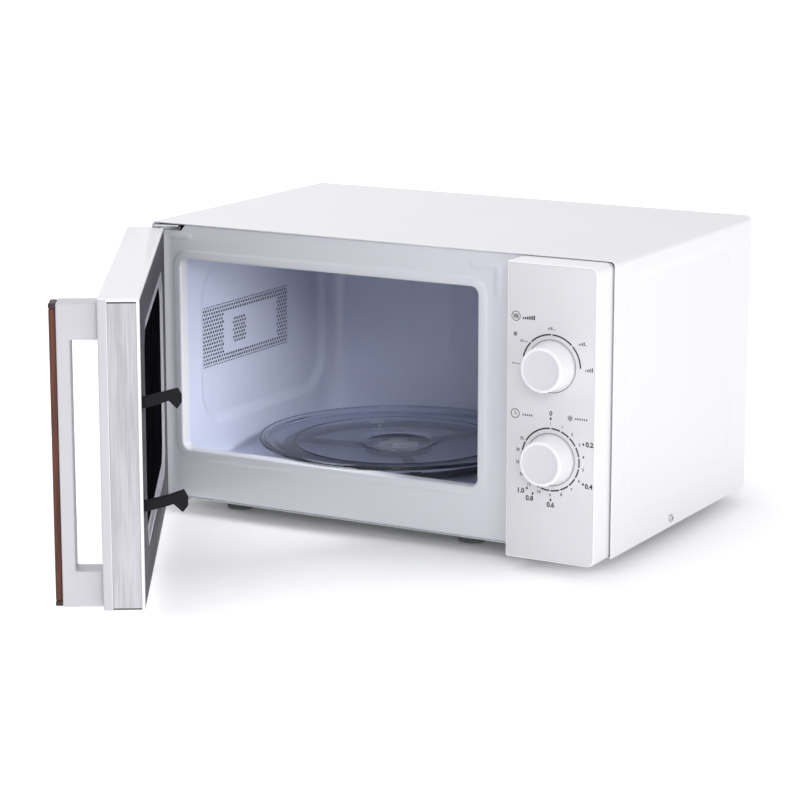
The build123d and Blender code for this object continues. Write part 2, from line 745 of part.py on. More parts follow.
with BuildPart() as turntable_coupler:
    rod(turn_x, turn_y, chamber_floor + 1.2, 9, coupler_top - chamber_floor - 1.2)
    for lobe in range(3):
        with BuildSketch(Plane.XY.offset(chamber_floor + 4)):
            with Locations((turn_x, turn_y)):
                with PolarLocations(lobe_reach / 2, 1, start_angle=lobe * 120):
                    SlotOverall(lobe_reach, lobe_width)
        extrude(amount=coupler_top - chamber_floor - 4)
    rod(
        turn_x, turn_y, chamber_floor, shaft_radius + running_fit,
        coupler_top - 2 + running_fit - chamber_floor, mode=Mode.SUBTRACT,
    )
save(turntable_coupler, "turntable_coupler")

# The glass tray is a shallow dish with a flat track underneath, and three lugs for the coupler.
track_edge = ring_radius + wheel_width / 2 + 2.0

with BuildPart() as glass_tray:
    with BuildSketch(Plane((turn_x, turn_y, tray_bottom), x_dir=(1, 0, 0), z_dir=(0, -1, 0))):
        with BuildLine():
            Polyline(
                (0, tray_glass), (0, 0), (track_edge, 0), (tray_radius - 4, 3.2),
                (tray_radius, tray_rim_rise - 1.6),
            )
            ThreePointArc(
                (tray_radius, tray_rim_rise - 1.6),
                (tray_radius - 1.6, tray_rim_rise),
                (tray_radius - 3.4, tray_rim_rise - 1.0),
            )
            Polyline(
                (tray_radius - 3.4, tray_rim_rise - 1.0), (tray_radius - 7.5, tray_glass + 2.0),
                (track_edge - 3, tray_glass), (0, tray_glass),
            )
        make_face()
    revolve(axis=Axis((turn_x, turn_y, 0), (0, 0, 1)))
    with Locations((turn_x, turn_y, tray_bottom)):
        with PolarLocations(15.5, 3, start_angle=60):
            Box(6, 7, 4.5, align=(Align.CENTER, Align.CENTER, Align.MAX))
save(glass_tray, "glass_tray")

# The roller ring carries three wheels that run on the floor, under the tray.
wheel_angles = (250.0, 10.0, 130.0)
ring_half = wheel_width / 2 + 0.4 + 1.7
axle_radius = 1.3
hub_ring_radius = 27.0
pocket_length = 2 * wheel_radius + 1.6


def wheel_plane(angle, reach):
    """The plane across a wheel's axle, at a reach from the turntable's axis."""
    outward = (cos(radians(angle)), sin(radians(angle)), 0)
    axle = Plane((turn_x, turn_y, wheel_height), x_dir=(0, 0, 1), z_dir=outward)
    return axle.offset(reach)


with BuildPart() as roller_ring:
    with BuildSketch(Plane.XY.offset(wheel_height - ring_section / 2)):
        with Locations((turn_x, turn_y)):
            Circle(ring_radius + ring_half)
            Circle(ring_radius - ring_half, mode=Mode.SUBTRACT)
            Circle(hub_ring_radius + 2.5)
            Circle(hub_ring_radius - 2.5, mode=Mode.SUBTRACT)
            arm_middle = (hub_ring_radius + ring_radius - ring_half + 2) / 2
            with PolarLocations(arm_middle, 3, start_angle=wheel_angles[1] + 60):
                Rectangle(ring_radius - ring_half - hub_ring_radius, 7)
            with PolarLocations(ring_radius, 3, start_angle=wheel_angles[1]):
                Rectangle(wheel_width + 0.8, pocket_length, mode=Mode.SUBTRACT)
    extrude(amount=ring_section)
    for angle in wheel_angles:
        with BuildSketch(wheel_plane(angle, ring_radius - ring_half - 2)):
            Circle(axle_radius + running_fit)
        extrude(amount=2 * ring_half + 4, mode=Mode.SUBTRACT)
save(roller_ring, "roller_ring")

for number, angle in enumerate(wheel_angles, start=1):
    with BuildPart() as roller_wheel:
        with BuildSketch(wheel_plane(angle, ring_radius - wheel_width / 2)):
            Circle(wheel_radius)
        extrude(amount=wheel_width)
        chamfer(roller_wheel.edges().filter_by(GeomType.CIRCLE), 0.7)
        with BuildSketch(wheel_plane(angle, ring_radius - ring_half)):
            Circle(axle_radius)
        extrude(amount=2 * ring_half)
    save(roller_wheel, f"roller_wheel_{number}")

# ======================================================================= latch and interlock

latch_wall_x = hook_x + hook_thick / 2 + hook_room + 0.4
latch_wall = 3.0
latch_z = (62.0, 208.0)
ledge_drop = 6.2           # from a hook's middle line down to its ledge
lever_pivot = (front + 35.0, 140.0)
lever_pin_radius = 1.5
lever_top = 178.0

with BuildPart() as latch_body:
    block(latch_wall_x, latch_wall_x + latch_wall, chamber_front, front + 44, *latch_z)
    block(
        latch_wall_x - 1, latch_wall_x + 3, chamber_front, chamber_front + 2,
        latch_z[0] - 6, latch_z[1] + 6,
    )
    for hook_z in (hook_low_z, hook_high_z):
        block(
            hook_x - hook_thick / 2 - hook_room, latch_wall_x, front + 7, front + 18,
            hook_z - ledge_drop - 4, hook_z - ledge_drop,
        )
    rod(hook_x - 4.5, *lever_pivot, lever_pin_radius, latch_wall_x - hook_x + 4.5, "X")
save(latch_body, "latch_body")

with BuildPart() as latch_switches:
    for switch_z in (84.0, 130.0, 180.0):
        switch_x = latch_wall_x + latch_wall
        block(switch_x, switch_x + 10, front + 12, front + 40, switch_z - 8, switch_z + 8)
        block(switch_x + 3, switch_x + 7, front + 40, front + 41.5, switch_z - 6, switch_z - 2)
        for blade_z in (switch_z - 12, switch_z + 8):
            block(switch_x + 4.6, switch_x + 5.4, front + 20, front + 26, blade_z, blade_z + 4)
save(latch_switches, "latch_switches")

with BuildPart() as interlock_lever:
    with BuildSketch(Plane.YZ.offset(hook_x - 2)):
        with Locations(lever_pivot):
            Circle(4)
        with Locations(((lever_pivot[0] - 1.8), (lever_pivot[1] + lever_top) / 2)):
            Rectangle(3.6, lever_top - lever_pivot[1])
        with Locations(lever_pivot):
            Circle(lever_pin_radius + running_fit, mode=Mode.SUBTRACT)
    extrude(amount=4)
save(interlock_lever, "interlock_lever")

# ======================================================================= control panel

panel_mid = at(panel_left, panel_right, panel_bottom, panel_top)
panel_width = panel_right - panel_left
panel_height = panel_top - panel_bottom
spindle_hole = 4.5
clock_box = (52.0, 51.0)
selector_box = (44.0, 44.0)
mechanism_front = panel_face + panel_wall

with BuildPart() as panel_housing:
    with BuildSketch(facing(panel_back)) as panel_outline:
        with Locations(panel_mid):
            Rectangle(panel_width, panel_height)
        fillet(panel_outline.vertices().group_by(Axis.X)[-1], panel_corner)
    extrude(amount=panel_back - panel_face)
    fillet(panel_housing.faces().sort_by(Axis.Y)[0].edges(), 1.0)
    with BuildSketch(facing(panel_back)) as panel_inside:
        with Locations(panel_mid):
            Rectangle(panel_width - 2 * panel_wall, panel_height - 2 * panel_wall)
        fillet(panel_inside.vertices().group_by(Axis.X)[-1], panel_corner - panel_wall)
    extrude(amount=panel_back - mechanism_front, mode=Mode.SUBTRACT)
    with BuildSketch(facing(panel_face + overlay_thick)) as overlay_recess:
        with Locations(panel_mid):
            Rectangle(panel_width - 2 * overlay_border, panel_height - 2 * overlay_border)
        fillet(overlay_recess.vertices().group_by(Axis.X)[-1], panel_corner - overlay_border)
    extrude(amount=overlay_thick, mode=Mode.SUBTRACT)
    for knob_z in (power_z, timer_z):
        rod(knob_x, panel_face - 1, knob_z, spindle_hole, panel_wall + 2, "Y", mode=Mode.SUBTRACT)
save(panel_housing, "panel_housing")

with BuildPart() as panel_plate:
    with BuildSketch(facing(panel_face + overlay_thick)) as overlay:
        with Locations(panel_mid):
            Rectangle(panel_width - 2 * overlay_border, panel_height - 2 * overlay_border)
        fillet(overlay.vertices().group_by(Axis.X)[-1], panel_corner - overlay_border)
        with Locations((knob_x, power_z), (knob_x, timer_z)):
            Circle(spindle_hole, mode=Mode.SUBTRACT)
    extrude(amount=overlay_thick)
save(panel_plate, "panel_plate")


def knob(z):
    """A round push-on knob with a dished face, a thin skirt and a hub inside."""
    with BuildPart() as made:
        with BuildSketch(Plane((knob_x, panel_face - knob_gap, z), x_dir=(1, 0, 0), z_dir=(0, 0, 1))):
            with BuildLine():
                Polyline(
                    (0, -knob_depth + 0.8), (0, -knob_depth + 3), (knob_face_radius - 3, -knob_depth + 3),
                    (knob_foot_radius - 2.2, 0), (knob_foot_radius, 0), (knob_foot_radius, -1.6),
                    (knob_face_radius, -knob_depth + 1.2),
                )
                ThreePointArc(
                    (knob_face_radius, -knob_depth + 1.2),
                    (knob_face_radius - 0.35, -knob_depth + 0.35),
                    (knob_face_radius - 1.2, -knob_depth),
                )
                TangentArc((0, -knob_depth + 0.8), (knob_face_radius - 1.2, -knob_depth), tangent=(1, 0))
            make_face()
        revolve(axis=Axis((knob_x, 0, z), (0, 1, 0)))
        rod(knob_x, panel_face - knob_gap - knob_depth + 3, z, 6, knob_depth - 3, "Y")
        rod(
            knob_x, panel_face - knob_gap - knob_depth + 5, z,
            spindle_radius + running_fit, knob_depth, "Y", mode=Mode.SUBTRACT,
        )
    return made


def spindle(z):
    """The round spindle that carries a knob into its mechanism."""
    with BuildPart() as made:
        rod(
            knob_x, panel_face - knob_gap - knob_depth + 5.3, z, spindle_radius,
            mechanism_front + 15 - (panel_face - knob_gap - knob_depth + 5.3), "Y",
        )
    return made


for name, knob_z in (("power", power_z), ("timer", timer_z)):
    save(knob(knob_z), f"{name}_knob")
    save(spindle(knob_z), f"{name}_spindle")

with BuildPart() as power_selector:
    with BuildSketch(facing(mechanism_front + 22)):
        with Locations((knob_x, power_z)):
            RectangleRounded(*selector_box, 4)
    extrude(amount=22)
    rod(
        knob_x, mechanism_front - 1, power_z, spindle_radius + running_fit, 17, "Y", mode=Mode.SUBTRACT,
    )
save(power_selector, "power_selector")

with BuildPart() as timer_mechanism:
    with BuildSketch(facing(mechanism_front + 30)):
        with Locations((knob_x, timer_z)):
            RectangleRounded(*clock_box, 2)
    extrude(amount=30)
    rod(
        knob_x, mechanism_front - 1, timer_z, spindle_radius + running_fit, 17, "Y", mode=Mode.SUBTRACT,
    )
    rod(knob_x, mechanism_front + 30, timer_z, 2, 8, "Y")
save(timer_mechanism, "timer_mechanism")

bell_radius = 17.0
with BuildPart() as timer_bell:
    with BuildSketch(Plane((knob_x, mechanism_front + 38, timer_z), x_dir=(1, 0, 0), z_dir=(0, 0, 1))):
        with BuildLine():
            Polyline((0, 1), (0, 0), (bell_radius - 6, 0))
            ThreePointArc((bell_radius - 6, 0), (bell_radius - 2, -1.8), (bell_radius, -6))
            Line((bell_radius, -6), (bell_radius + 1, -6))
            ThreePointArc((bell_radius + 1, -6), (bell_radius - 1.2, -1), (bell_radius - 6, 1))
            Line((bell_radius - 6, 1), (0, 1))
        make_face()
    revolve(axis=Axis((knob_x, 0, timer_z), (0, 1, 0)))
save(timer_bell, "timer_bell")

# ======================================================================= hinges

bracket_thick = 1.5
bracket_clear = 0.6
upper_bracket_z = door_top + bracket_clear
lower_bracket_z = door_bottom - bracket_clear
pin_engagement = 9.0
bracket_right = left + 27.0
lug_radius = hinge_x - door_left

with BuildPart() as hinge_brackets:
    for side, plate_z in ((1, upper_bracket_z), (-1, lower_bracket_z - bracket_thick)):
        with BuildSketch(Plane.XY.offset(plate_z)):
            with Locations((hinge_x, hinge_y)):
                Circle(3.4)
            with BuildLine():
                Polyline(
                    (hinge_x - 0.6, hinge_y - 3.2), (bracket_right, front - 3), (bracket_right, front + 16),
                    (hinge_x + 1, front + 16), (hinge_x - 3, hinge_y + 2), close=True,
                )
            make_face()
        extrude(amount=bracket_thick)
    for pin_z, pin_top in (
        (door_top - pin_engagement, upper_bracket_z),
        (lower_bracket_z, door_bottom + pin_engagement),
    ):
        rod(hinge_x, hinge_y, pin_z, pin_radius, pin_top - pin_z)
    block(
        hinge_x + 1, bracket_right, chamber_front, chamber_front + 1.5,
        chamber_top + 1.2, upper_bracket_z,
    )
    block(hinge_x + 1, bracket_right, front + 3, front + 16, lower_bracket_z, foot_height)
save(hinge_brackets, "hinge_brackets")

# ======================================================================= door, drawn shut

swing = Pos(hinge_x, hinge_y, 0) * Rot(0, 0, -door_rest_angle) * Pos(-hinge_x, -hinge_y, 0)
door_height = door_top - door_bottom
window_mid = at(window_left, window_right, window_bottom, window_top)
window_width = window_right - window_left
window_height = window_top - window_bottom
trim_y = (door_outer + 7.5, door_inner - 2.6)
trim_z = (door_bottom + 2.0, door_top - 3.0)
trim_depth = 0.8
cover_thick = 2.2
pan_y = door_inner - 9.0
pan_gap = 0.4
pane_lap = 6.0
pane_gap = 0.25
screw_places = (
    (handle_mid_x, handle_bottom + post_height / 2),
    (handle_mid_x, handle_top - post_height / 2),
)
handle_screw_radius = 2.0

with BuildPart() as door_skin:
    block(door_left, door_right, door_outer, door_inner, door_bottom, door_top)
    fillet(door_skin.edges().filter_by(Axis.Y), door_corner)
    fillet(door_skin.faces().sort_by(Axis.Y)[0].edges(), 1.6)
    block(
        door_left + door_wall, door_right - door_wall, door_outer + door_wall, door_inner + 1,
        door_bottom + door_wall, door_top - door_wall, mode=Mode.SUBTRACT,
    )
    with BuildSketch(facing(door_outer + door_wall + 1)):
        with Locations(window_mid):
            RectangleRounded(window_width, window_height, window_corner)
        with Locations(*screw_places):
            Circle(handle_screw_radius + screw_clearance)
    extrude(amount=door_wall + 2, mode=Mode.SUBTRACT)
    block(door_right - trim_depth, door_right + 1, *trim_y, *trim_z, mode=Mode.SUBTRACT)
    for lug_z in (door_bottom - 1, door_top - pin_engagement - 4):
        rod(hinge_x, hinge_y, lug_z, lug_radius + 0.3, pin_engagement + 5, mode=Mode.SUBTRACT)
save(door_skin, "door_skin", swing)

with BuildPart() as door_side_trim:
    block(door_right - trim_depth, door_right - 0.2, *trim_y, *trim_z)
    fillet(door_side_trim.edges().filter_by(Axis.X), 0.6)
save(door_side_trim, "door_side_trim", swing)

with BuildPart() as door_glass:
    with BuildSketch(facing(door_outer + door_wall)):
        with Locations(window_mid):
            RectangleRounded(
                window_width - 2 * pane_gap, window_height - 2 * pane_gap, window_corner - pane_gap
            )
    extrude(amount=door_wall - 0.5)
    with BuildSketch(facing(door_outer + door_wall + 1.6)):
        with Locations(window_mid):
            RectangleRounded(
                window_width + 2 * pane_lap, window_height + 2 * pane_lap, window_corner + pane_lap
            )
    extrude(amount=1.6)
save(door_glass, "door_glass", swing)

# The steel door panel: a folded pan with a pierced viewing window and two hinge lugs.
pan_edge = 8.0
hook_slot = (hook_x - hook_thick / 2 - 1.2, hook_x + hook_thick / 2 + 1.2)
hook_slot_z = ((hook_low_z - 6.5, hook_low_z + 12.0), (hook_high_z - 6.5, hook_high_z + 12.0))
pan_x = (door_left + door_wall + pan_gap, door_right - door_wall - pan_gap)
pan_z = (door_bottom + door_wall + pan_gap, door_top - door_wall - pan_gap)
fold = pan_edge - cover_thick

with BuildPart() as door_frame:
    block(*pan_x, pan_y, pan_y + sheet, *pan_z)
    block(*pan_x, pan_y, pan_y + fold, *pan_z)
    block(
        pan_x[0] + sheet, pan_x[1] - sheet, pan_y + sheet, pan_y + fold + 1,
        pan_z[0] + sheet, pan_z[1] - sheet, mode=Mode.SUBTRACT,
    )
    for slot_z in hook_slot_z:
        block(*hook_slot, pan_y - 1, pan_y + 2, *slot_z, mode=Mode.SUBTRACT)
    for low, high, arm_low, arm_high in (
        (door_bottom + 0.3, door_bottom + pin_engagement + 2, pan_z[0], door_bottom + pin_engagement + 2),
        (door_top - pin_engagement - 2, door_top - 0.3, door_top - pin_engagement - 2, pan_z[1]),
    ):
        rod(hinge_x, hinge_y, low, lug_radius, high - low)
        block(hinge_x, hinge_x + 14, pan_y, hinge_y + 2.4, arm_low, arm_high)
        rod(hinge_x, hinge_y, low - 1, pin_radius + pin_clearance, high - low + 2, mode=Mode.SUBTRACT)
save(door_frame, "door_frame", swing)

# Inside: the dark choke cover, the pale stepped bezel and the glossy window film.
film_grow = -6.0
film_chamfer = 13.0
bezel_wide = 13.0
bezel_gap = 0.3


def film_outline(y, grow, cut):
    """The inner window's outline with its corners cut off, on the upright plane at y."""
    with BuildSketch(facing(y)) as outline:
        with Locations(window_mid):
            Rectangle(window_width + 2 * grow, window_height + 2 * grow)
        chamfer(outline.vertices(), cut)
    return outline.sketch


def bezel_outline(y, gap):
    """The bezel's outer outline, or one that is smaller by a gap."""
    return film_outline(y, film_grow + bezel_wide - gap, film_chamfer + 4)


with BuildPart() as door_choke_cover:
    block(*pan_x, door_inner - cover_thick, door_inner, *pan_z)
    extrude(bezel_outline(door_inner + 1, 0), amount=5, mode=Mode.SUBTRACT)
    for slot_z in hook_slot_z:
        block(*hook_slot, door_inner - 5, door_inner + 1, *slot_z, mode=Mode.SUBTRACT)
    rod(hinge_x, hinge_y, door_bottom, lug_radius + 0.3, door_height, mode=Mode.SUBTRACT)
save(door_choke_cover, "door_choke_cover", swing)

with BuildPart() as door_inner_bezel:
    extrude(bezel_outline(door_inner - 0.5, bezel_gap), amount=pan_edge - 0.5 + 0.2)
    extrude(film_outline(door_inner, film_grow + 7, film_chamfer + 2), amount=1.6, mode=Mode.SUBTRACT)
    extrude(film_outline(door_inner, film_grow, film_chamfer), amount=12, mode=Mode.SUBTRACT)
save(door_inner_bezel, "door_inner_bezel", swing)

with BuildPart() as door_inner_film:
    extrude(film_outline(door_inner - 2.4, film_grow - bezel_gap, film_chamfer), amount=1.0)
save(door_inner_film, "door_inner_film", swing)

# The handle is a pale bar on two posts with a wooden strip along its front.
with BuildPart() as door_handle:
    block(handle_left, handle_right, bar_front, bar_back, handle_bottom, handle_top)
    block(handle_left, handle_right, bar_back, door_outer, handle_bottom, handle_bottom + post_height)
    block(handle_left, handle_right, bar_back, door_outer, handle_top - post_height, handle_top)
    fillet(door_handle.edges().filter_by(Axis.Z), 1.5)
    fillet(door_handle.edges().filter_by(Axis.X).group_by(Axis.Y)[1:-1], 1.2)
    for screw_x, screw_z in screw_places:
        rod(
            screw_x, door_outer - 14, screw_z, handle_screw_radius + screw_clearance, 15, "Y",
            mode=Mode.SUBTRACT,
        )
save(door_handle, "door_handle", swing)

strip_margin = 1.2
with BuildPart() as handle_strip:
    block(
        handle_left + strip_margin, handle_right - strip_margin, bar_front - strip_thick, bar_front,
        handle_bottom + strip_margin, handle_top - strip_margin,
    )
    fillet(handle_strip.faces().sort_by(Axis.Y)[0].edges(), 1.6)
save(handle_strip, "handle_strip", swing)

with BuildPart() as handle_screws:
    for screw_x, screw_z in screw_places:
        rod(screw_x, door_outer + door_wall, screw_z, 4, 2.4, "Y")
        rod(screw_x, door_outer - 13, screw_z, handle_screw_radius, 13 + door_wall, "Y")
save(handle_screws, "handle_screws", swing)

# Both hooks are one moulded strip that slides up and down inside the door.
strip_back = pan_y - 3.0
strip_front = strip_back - 10.0


def hook_points(z, reach, head):
    """The side view of one hook: a rising arm that ends in a head turned down."""
    return (
        (strip_back - 2, z - 4.5), (front, z - 4.5), (front + reach * 0.53, z - 0.2),
        (front + reach * 0.65, z + 1.2), (front + reach * 0.87, z - 5.2), (front + reach, z - 0.2),
        (front + reach, z + head * 0.55), (front + reach * 0.9, z + head), (front + reach * 0.55, z + 8.2),
        (front, z + 4.2), (strip_back - 2, z + 4.2),
    )


with BuildPart() as latch_hooks:
    with BuildSketch(Plane.YZ.offset(hook_x - hook_thick / 2)):
        with Locations(((strip_front + strip_back) / 2, (hook_low_z + hook_high_z) / 2)):
            Rectangle(strip_back - strip_front, hook_high_z - hook_low_z + 36)
        for hook_z, reach, head in (
            (hook_low_z, hook_low_reach, 12.4),
            (hook_high_z, hook_high_reach, 10.8),
        ):
            with BuildLine():
                Polyline(*hook_points(hook_z, reach, head), close=True)
            make_face()
    extrude(amount=hook_thick)
save(latch_hooks, "latch_hooks", swing)

spring_x = hook_x - 9.0
spring_z = (118.0, 142.0)
spring_turns = 12
spring_pitch = (spring_z[1] - spring_z[0]) / spring_turns

with BuildPart() as hook_spring:
    for turn in range(spring_turns):
        with Locations((spring_x, strip_front + 5, spring_z[0] + spring_pitch * (turn + 0.5))):
            Cylinder(2.6, spring_pitch * 0.6)
    rod(spring_x, strip_front + 5, spring_z[0], 1.9, spring_z[1] - spring_z[0])
save(hook_spring, "hook_spring", swing)
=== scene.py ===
# Looks for a countertop microwave oven with a mechanical timer, built round its CAD frame.
# Metres, +Z up, +Y into the oven, +X towards the control panel. The door's pieces are drawn
# with the door shut, and then swung to where the door rests.
import json
from math import atan2, ceil, cos, hypot, pi, radians, sin, sqrt, tau

import bmesh
import bpy
from mathutils import Matrix, Vector


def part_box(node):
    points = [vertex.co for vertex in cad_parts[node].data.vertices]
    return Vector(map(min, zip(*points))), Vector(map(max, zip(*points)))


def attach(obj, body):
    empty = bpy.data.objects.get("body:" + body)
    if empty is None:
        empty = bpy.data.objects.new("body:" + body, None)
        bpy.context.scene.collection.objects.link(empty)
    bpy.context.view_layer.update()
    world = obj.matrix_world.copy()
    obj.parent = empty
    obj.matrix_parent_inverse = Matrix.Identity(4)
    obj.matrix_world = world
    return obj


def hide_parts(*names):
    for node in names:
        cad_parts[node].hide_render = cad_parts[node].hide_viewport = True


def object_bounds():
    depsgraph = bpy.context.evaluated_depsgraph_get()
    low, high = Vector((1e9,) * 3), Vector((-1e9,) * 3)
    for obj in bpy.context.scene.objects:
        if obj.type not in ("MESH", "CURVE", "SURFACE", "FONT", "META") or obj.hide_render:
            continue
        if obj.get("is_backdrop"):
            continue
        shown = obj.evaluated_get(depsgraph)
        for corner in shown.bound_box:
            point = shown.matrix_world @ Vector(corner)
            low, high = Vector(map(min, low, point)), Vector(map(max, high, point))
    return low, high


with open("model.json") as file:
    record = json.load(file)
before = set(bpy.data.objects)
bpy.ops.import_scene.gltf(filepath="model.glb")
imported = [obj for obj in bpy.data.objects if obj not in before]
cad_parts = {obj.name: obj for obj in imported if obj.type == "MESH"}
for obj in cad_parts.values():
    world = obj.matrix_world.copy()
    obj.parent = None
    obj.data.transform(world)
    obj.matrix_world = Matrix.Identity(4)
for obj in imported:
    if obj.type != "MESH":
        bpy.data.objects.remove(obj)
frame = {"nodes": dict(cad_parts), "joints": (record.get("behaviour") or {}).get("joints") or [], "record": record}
cad_low, cad_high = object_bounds()
MM = 0.001

# ------------------------------------------------------------------ places taken from the frame

hinge = next(joint for joint in frame["joints"] if joint["name"] == "door_hinge")
hinge_point = Vector(hinge["pos_m"])
SWING = Matrix.Translation(hinge_point) @ Matrix.Rotation(radians(hinge["range_deg"][0]), 4, "Z")
SWING = SWING @ Matrix.Translation(-hinge_point)      # from the shut door to the door at rest
SHUT = SWING.inverted()


def shut_box(node):
    """A door node's lowest and highest corners, in metres, with the door shut."""
    points = [SHUT @ vertex.co for vertex in frame["nodes"][node].data.vertices]
    low = Vector(min(point[axis] for point in points) for axis in range(3))
    high = Vector(max(point[axis] for point in points) for axis in range(3))
    return low, high


cabinet_low, cabinet_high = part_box("outer_cabinet")
plate_low, plate_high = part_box("front_plate")
vent_low, vent_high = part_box("cavity_vent_plate")
housing_low, housing_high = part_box("panel_housing")
tray_low, tray_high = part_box("glass_tray")
feet_low, feet_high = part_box("feet")
skin_low, skin_high = shut_box("door_skin")
trim_low, trim_high = shut_box("door_side_trim")
bezel_low, bezel_high = shut_box("door_inner_bezel")
film_low, film_high = shut_box("door_inner_film")
bar_low, bar_high = shut_box("door_handle")
strip_low, strip_high = shut_box("handle_strip")

left = cabinet_low.x
right = cabinet_high.x
plate_face = plate_low.y + 0.9 * MM     # the flat of the front plate, behind its raised lip


# ------------------------------------------------------------------ meshes

def soften(mesh, angle=32):
    """Smooth shading, with sharp edges where the faces turn by more than the angle."""
    mesh.shade_smooth()
    mesh.set_sharp_from_angle(angle=radians(angle))


def new_piece(name, mesh, *materials):
    """An object at the origin that shows a mesh in these materials."""
    for material in materials:
        mesh.materials.append(material)
    made = bpy.data.objects.new(name, mesh)
    bpy.context.scene.collection.objects.link(made)
    return made


def from_points(name, points, faces, *materials, angle=32, outward=True):
    """A piece from points and faces. Doubles are merged and the faces turned outwards."""
    mesh = bpy.data.meshes.new(name)
    mesh.from_pydata([tuple(point) for point in points], [], faces)
    shape = bmesh.new()
    shape.from_mesh(mesh)
    bmesh.ops.remove_doubles(shape, verts=shape.verts, dist=1e-6)
    if outward:
        bmesh.ops.recalc_face_normals(shape, faces=shape.faces)
    shape.to_mesh(mesh)
    shape.free()
    soften(mesh, angle)
    return new_piece(name, mesh, *materials)


def settle(made, angle=32):
    """Turn a piece's modifiers into its own plain mesh."""
    graph = bpy.context.evaluated_depsgraph_get()
    mesh = bpy.data.meshes.new_from_object(made.evaluated_get(graph))
    made.modifiers.clear()
    made.data = mesh
    soften(mesh, angle)
    return made


def walled(made, thickness, angle=32, lined=False):
    """Give an open sheet its thickness, and if lined its second material on the inside."""
    wall = made.modifiers.new("wall", "SOLIDIFY")
    wall.material_offset = int(lined)
    wall.thickness = thickness
    wall.offset = -1
    wall.use_even_offset = True
    return settle(made, angle)


def bevelled(made, width, segments=3, angle=30):
    """Round a piece's sharp edges."""
    edge = made.modifiers.new("edge", "BEVEL")
    edge.width = width
    edge.segments = segments
    edge.limit_method = "ANGLE"
    edge.angle_limit = radians(angle)
    edge.harden_normals = False
    return settle(made, angle)


def cut_out(made, *cutters):
    """Cut other solids out of a piece, and remove them."""
    for cutter in cutters:
        cut = made.modifiers.new("cut", "BOOLEAN")
        cut.operation = "DIFFERENCE"
        cut.solver = "EXACT"
        cut.object = cutter
    bpy.context.view_layer.update()
    settle(made)
    for cutter in cutters:
        bpy.data.objects.remove(cutter)
    return made


def refined(node, name, material, width=0.3 * MM, segments=2, merge=1e-6):
    """A CAD node's shape as a new piece with its edges slightly rounded."""
    mesh = frame["nodes"][node].data.copy()
    mesh.materials.clear()
    shape = bmesh.new()
    shape.from_mesh(mesh)
    bmesh.ops.remove_doubles(shape, verts=shape.verts, dist=merge)
    bmesh.ops.dissolve_limit(
        shape, angle_limit=radians(1.0), verts=shape.verts, edges=shape.edges
    )
    shape.to_mesh(mesh)
    shape.free()
    made = new_piece(name, mesh, material)
    return bevelled(made, width, segments)


def skin(rows, closed=True, cap_first=False, cap_last=False):
    """Points and faces of a surface through rows that have equal numbers of points."""
    count = len(rows[0])
    points = [point for row in rows for point in row]
    faces = []
    for row in range(len(rows) - 1):
        for step in range(count if closed else count - 1):
            beside = (step + 1) % count
            faces.append((
                row * count + step, row * count + beside,
                (row + 1) * count + beside, (row + 1) * count + step,
            ))
    if cap_first:
        faces.append(tuple(range(count)))
    if cap_last:
        faces.append(tuple(range(len(points) - count, len(points))))
    return points, faces


def outline(x0, x1, z0, z1, radii, sides=1, corners=8):
    """Points round a rectangle with round corners, anticlockwise from the lower right one."""
    if not hasattr(radii, "__len__"):
        radii = (radii,) * 4
    centres = (
        (x1 - radii[0], z0 + radii[0]), (x1 - radii[1], z1 - radii[1]),
        (x0 + radii[2], z1 - radii[2]), (x0 + radii[3], z0 + radii[3]),
    )
    arcs = []
    for corner, ((x, z), radius) in enumerate(zip(centres, radii)):
        turns = [radians(90 * (corner - 1 + step / corners)) for step in range(corners + 1)]
        arcs.append([(x + radius * cos(turn), z + radius * sin(turn)) for turn in turns])
    points = []
    for corner, arc in enumerate(arcs):
        points += arc
        start, end = arc[-1], arcs[(corner + 1) % 4][0]
        for step in range(1, sides):
            share = step / sides
            points.append((
                start[0] + (end[0] - start[0]) * share, start[1] + (end[1] - start[1]) * share,
            ))
    return points


def upright(points, y):
    """Outline points on the upright plane at y."""
    return [(x, y, z) for x, z in points]


def lathe(name, profile, centre, axis, *materials, segments=96, angle=32):
    """A round piece: the profile's (radius, height) pairs turned about an axis, +Y or +Z."""
    rows = []
    for radius, height in profile:
        row = []
        for step in range(segments):
            turn = tau * step / segments
            across, up = radius * cos(turn), radius * sin(turn)
            offset = {"Z": (across, up, height), "Y": (across, height, up)}[axis]
            row.append(Vector(centre) + Vector(offset))
        rows.append(row)
    points, faces = skin(rows)
    return from_points(name, points, faces, *materials, angle=angle)


def arc(centre, radius, start, end, steps):
    """Points of a profile along an arc, from one angle to another, in degrees."""
    turns = [radians(start + (end - start) * step / steps) for step in range(steps + 1)]
    return [(centre[0] + radius * cos(turn), centre[1] + radius * sin(turn)) for turn in turns]


def lines(low, high, step, *edges):
    """Even grid lines from low to high, closer than step, that pass through the edges too."""
    stops = sorted({low, high, *[edge for edge in edges if low < edge < high]})
    found = []
    for start, end in zip(stops, stops[1:]):
        count = max(1, ceil((end - start) / step - 1e-6))
        found += [start + (end - start) * place / count for place in range(count)]
    return found + [high]


def ease(share):
    """A smooth step from 0 to 1."""
    share = max(0.0, min(1.0, share))
    return share * share * (3 - 2 * share)


def inside_depth(x, z, box, radius):
    """How far a point is inside a rectangle (x0, x1, z0, z1) with round corners."""
    x0, x1, z0, z1 = box
    across = abs(x - (x0 + x1) / 2) - (x1 - x0) / 2 + radius
    up = abs(z - (z0 + z1) / 2) - (z1 - z0) / 2 + radius
    outside = hypot(max(across, 0), max(up, 0)) + min(max(across, up), 0)
    return radius - outside


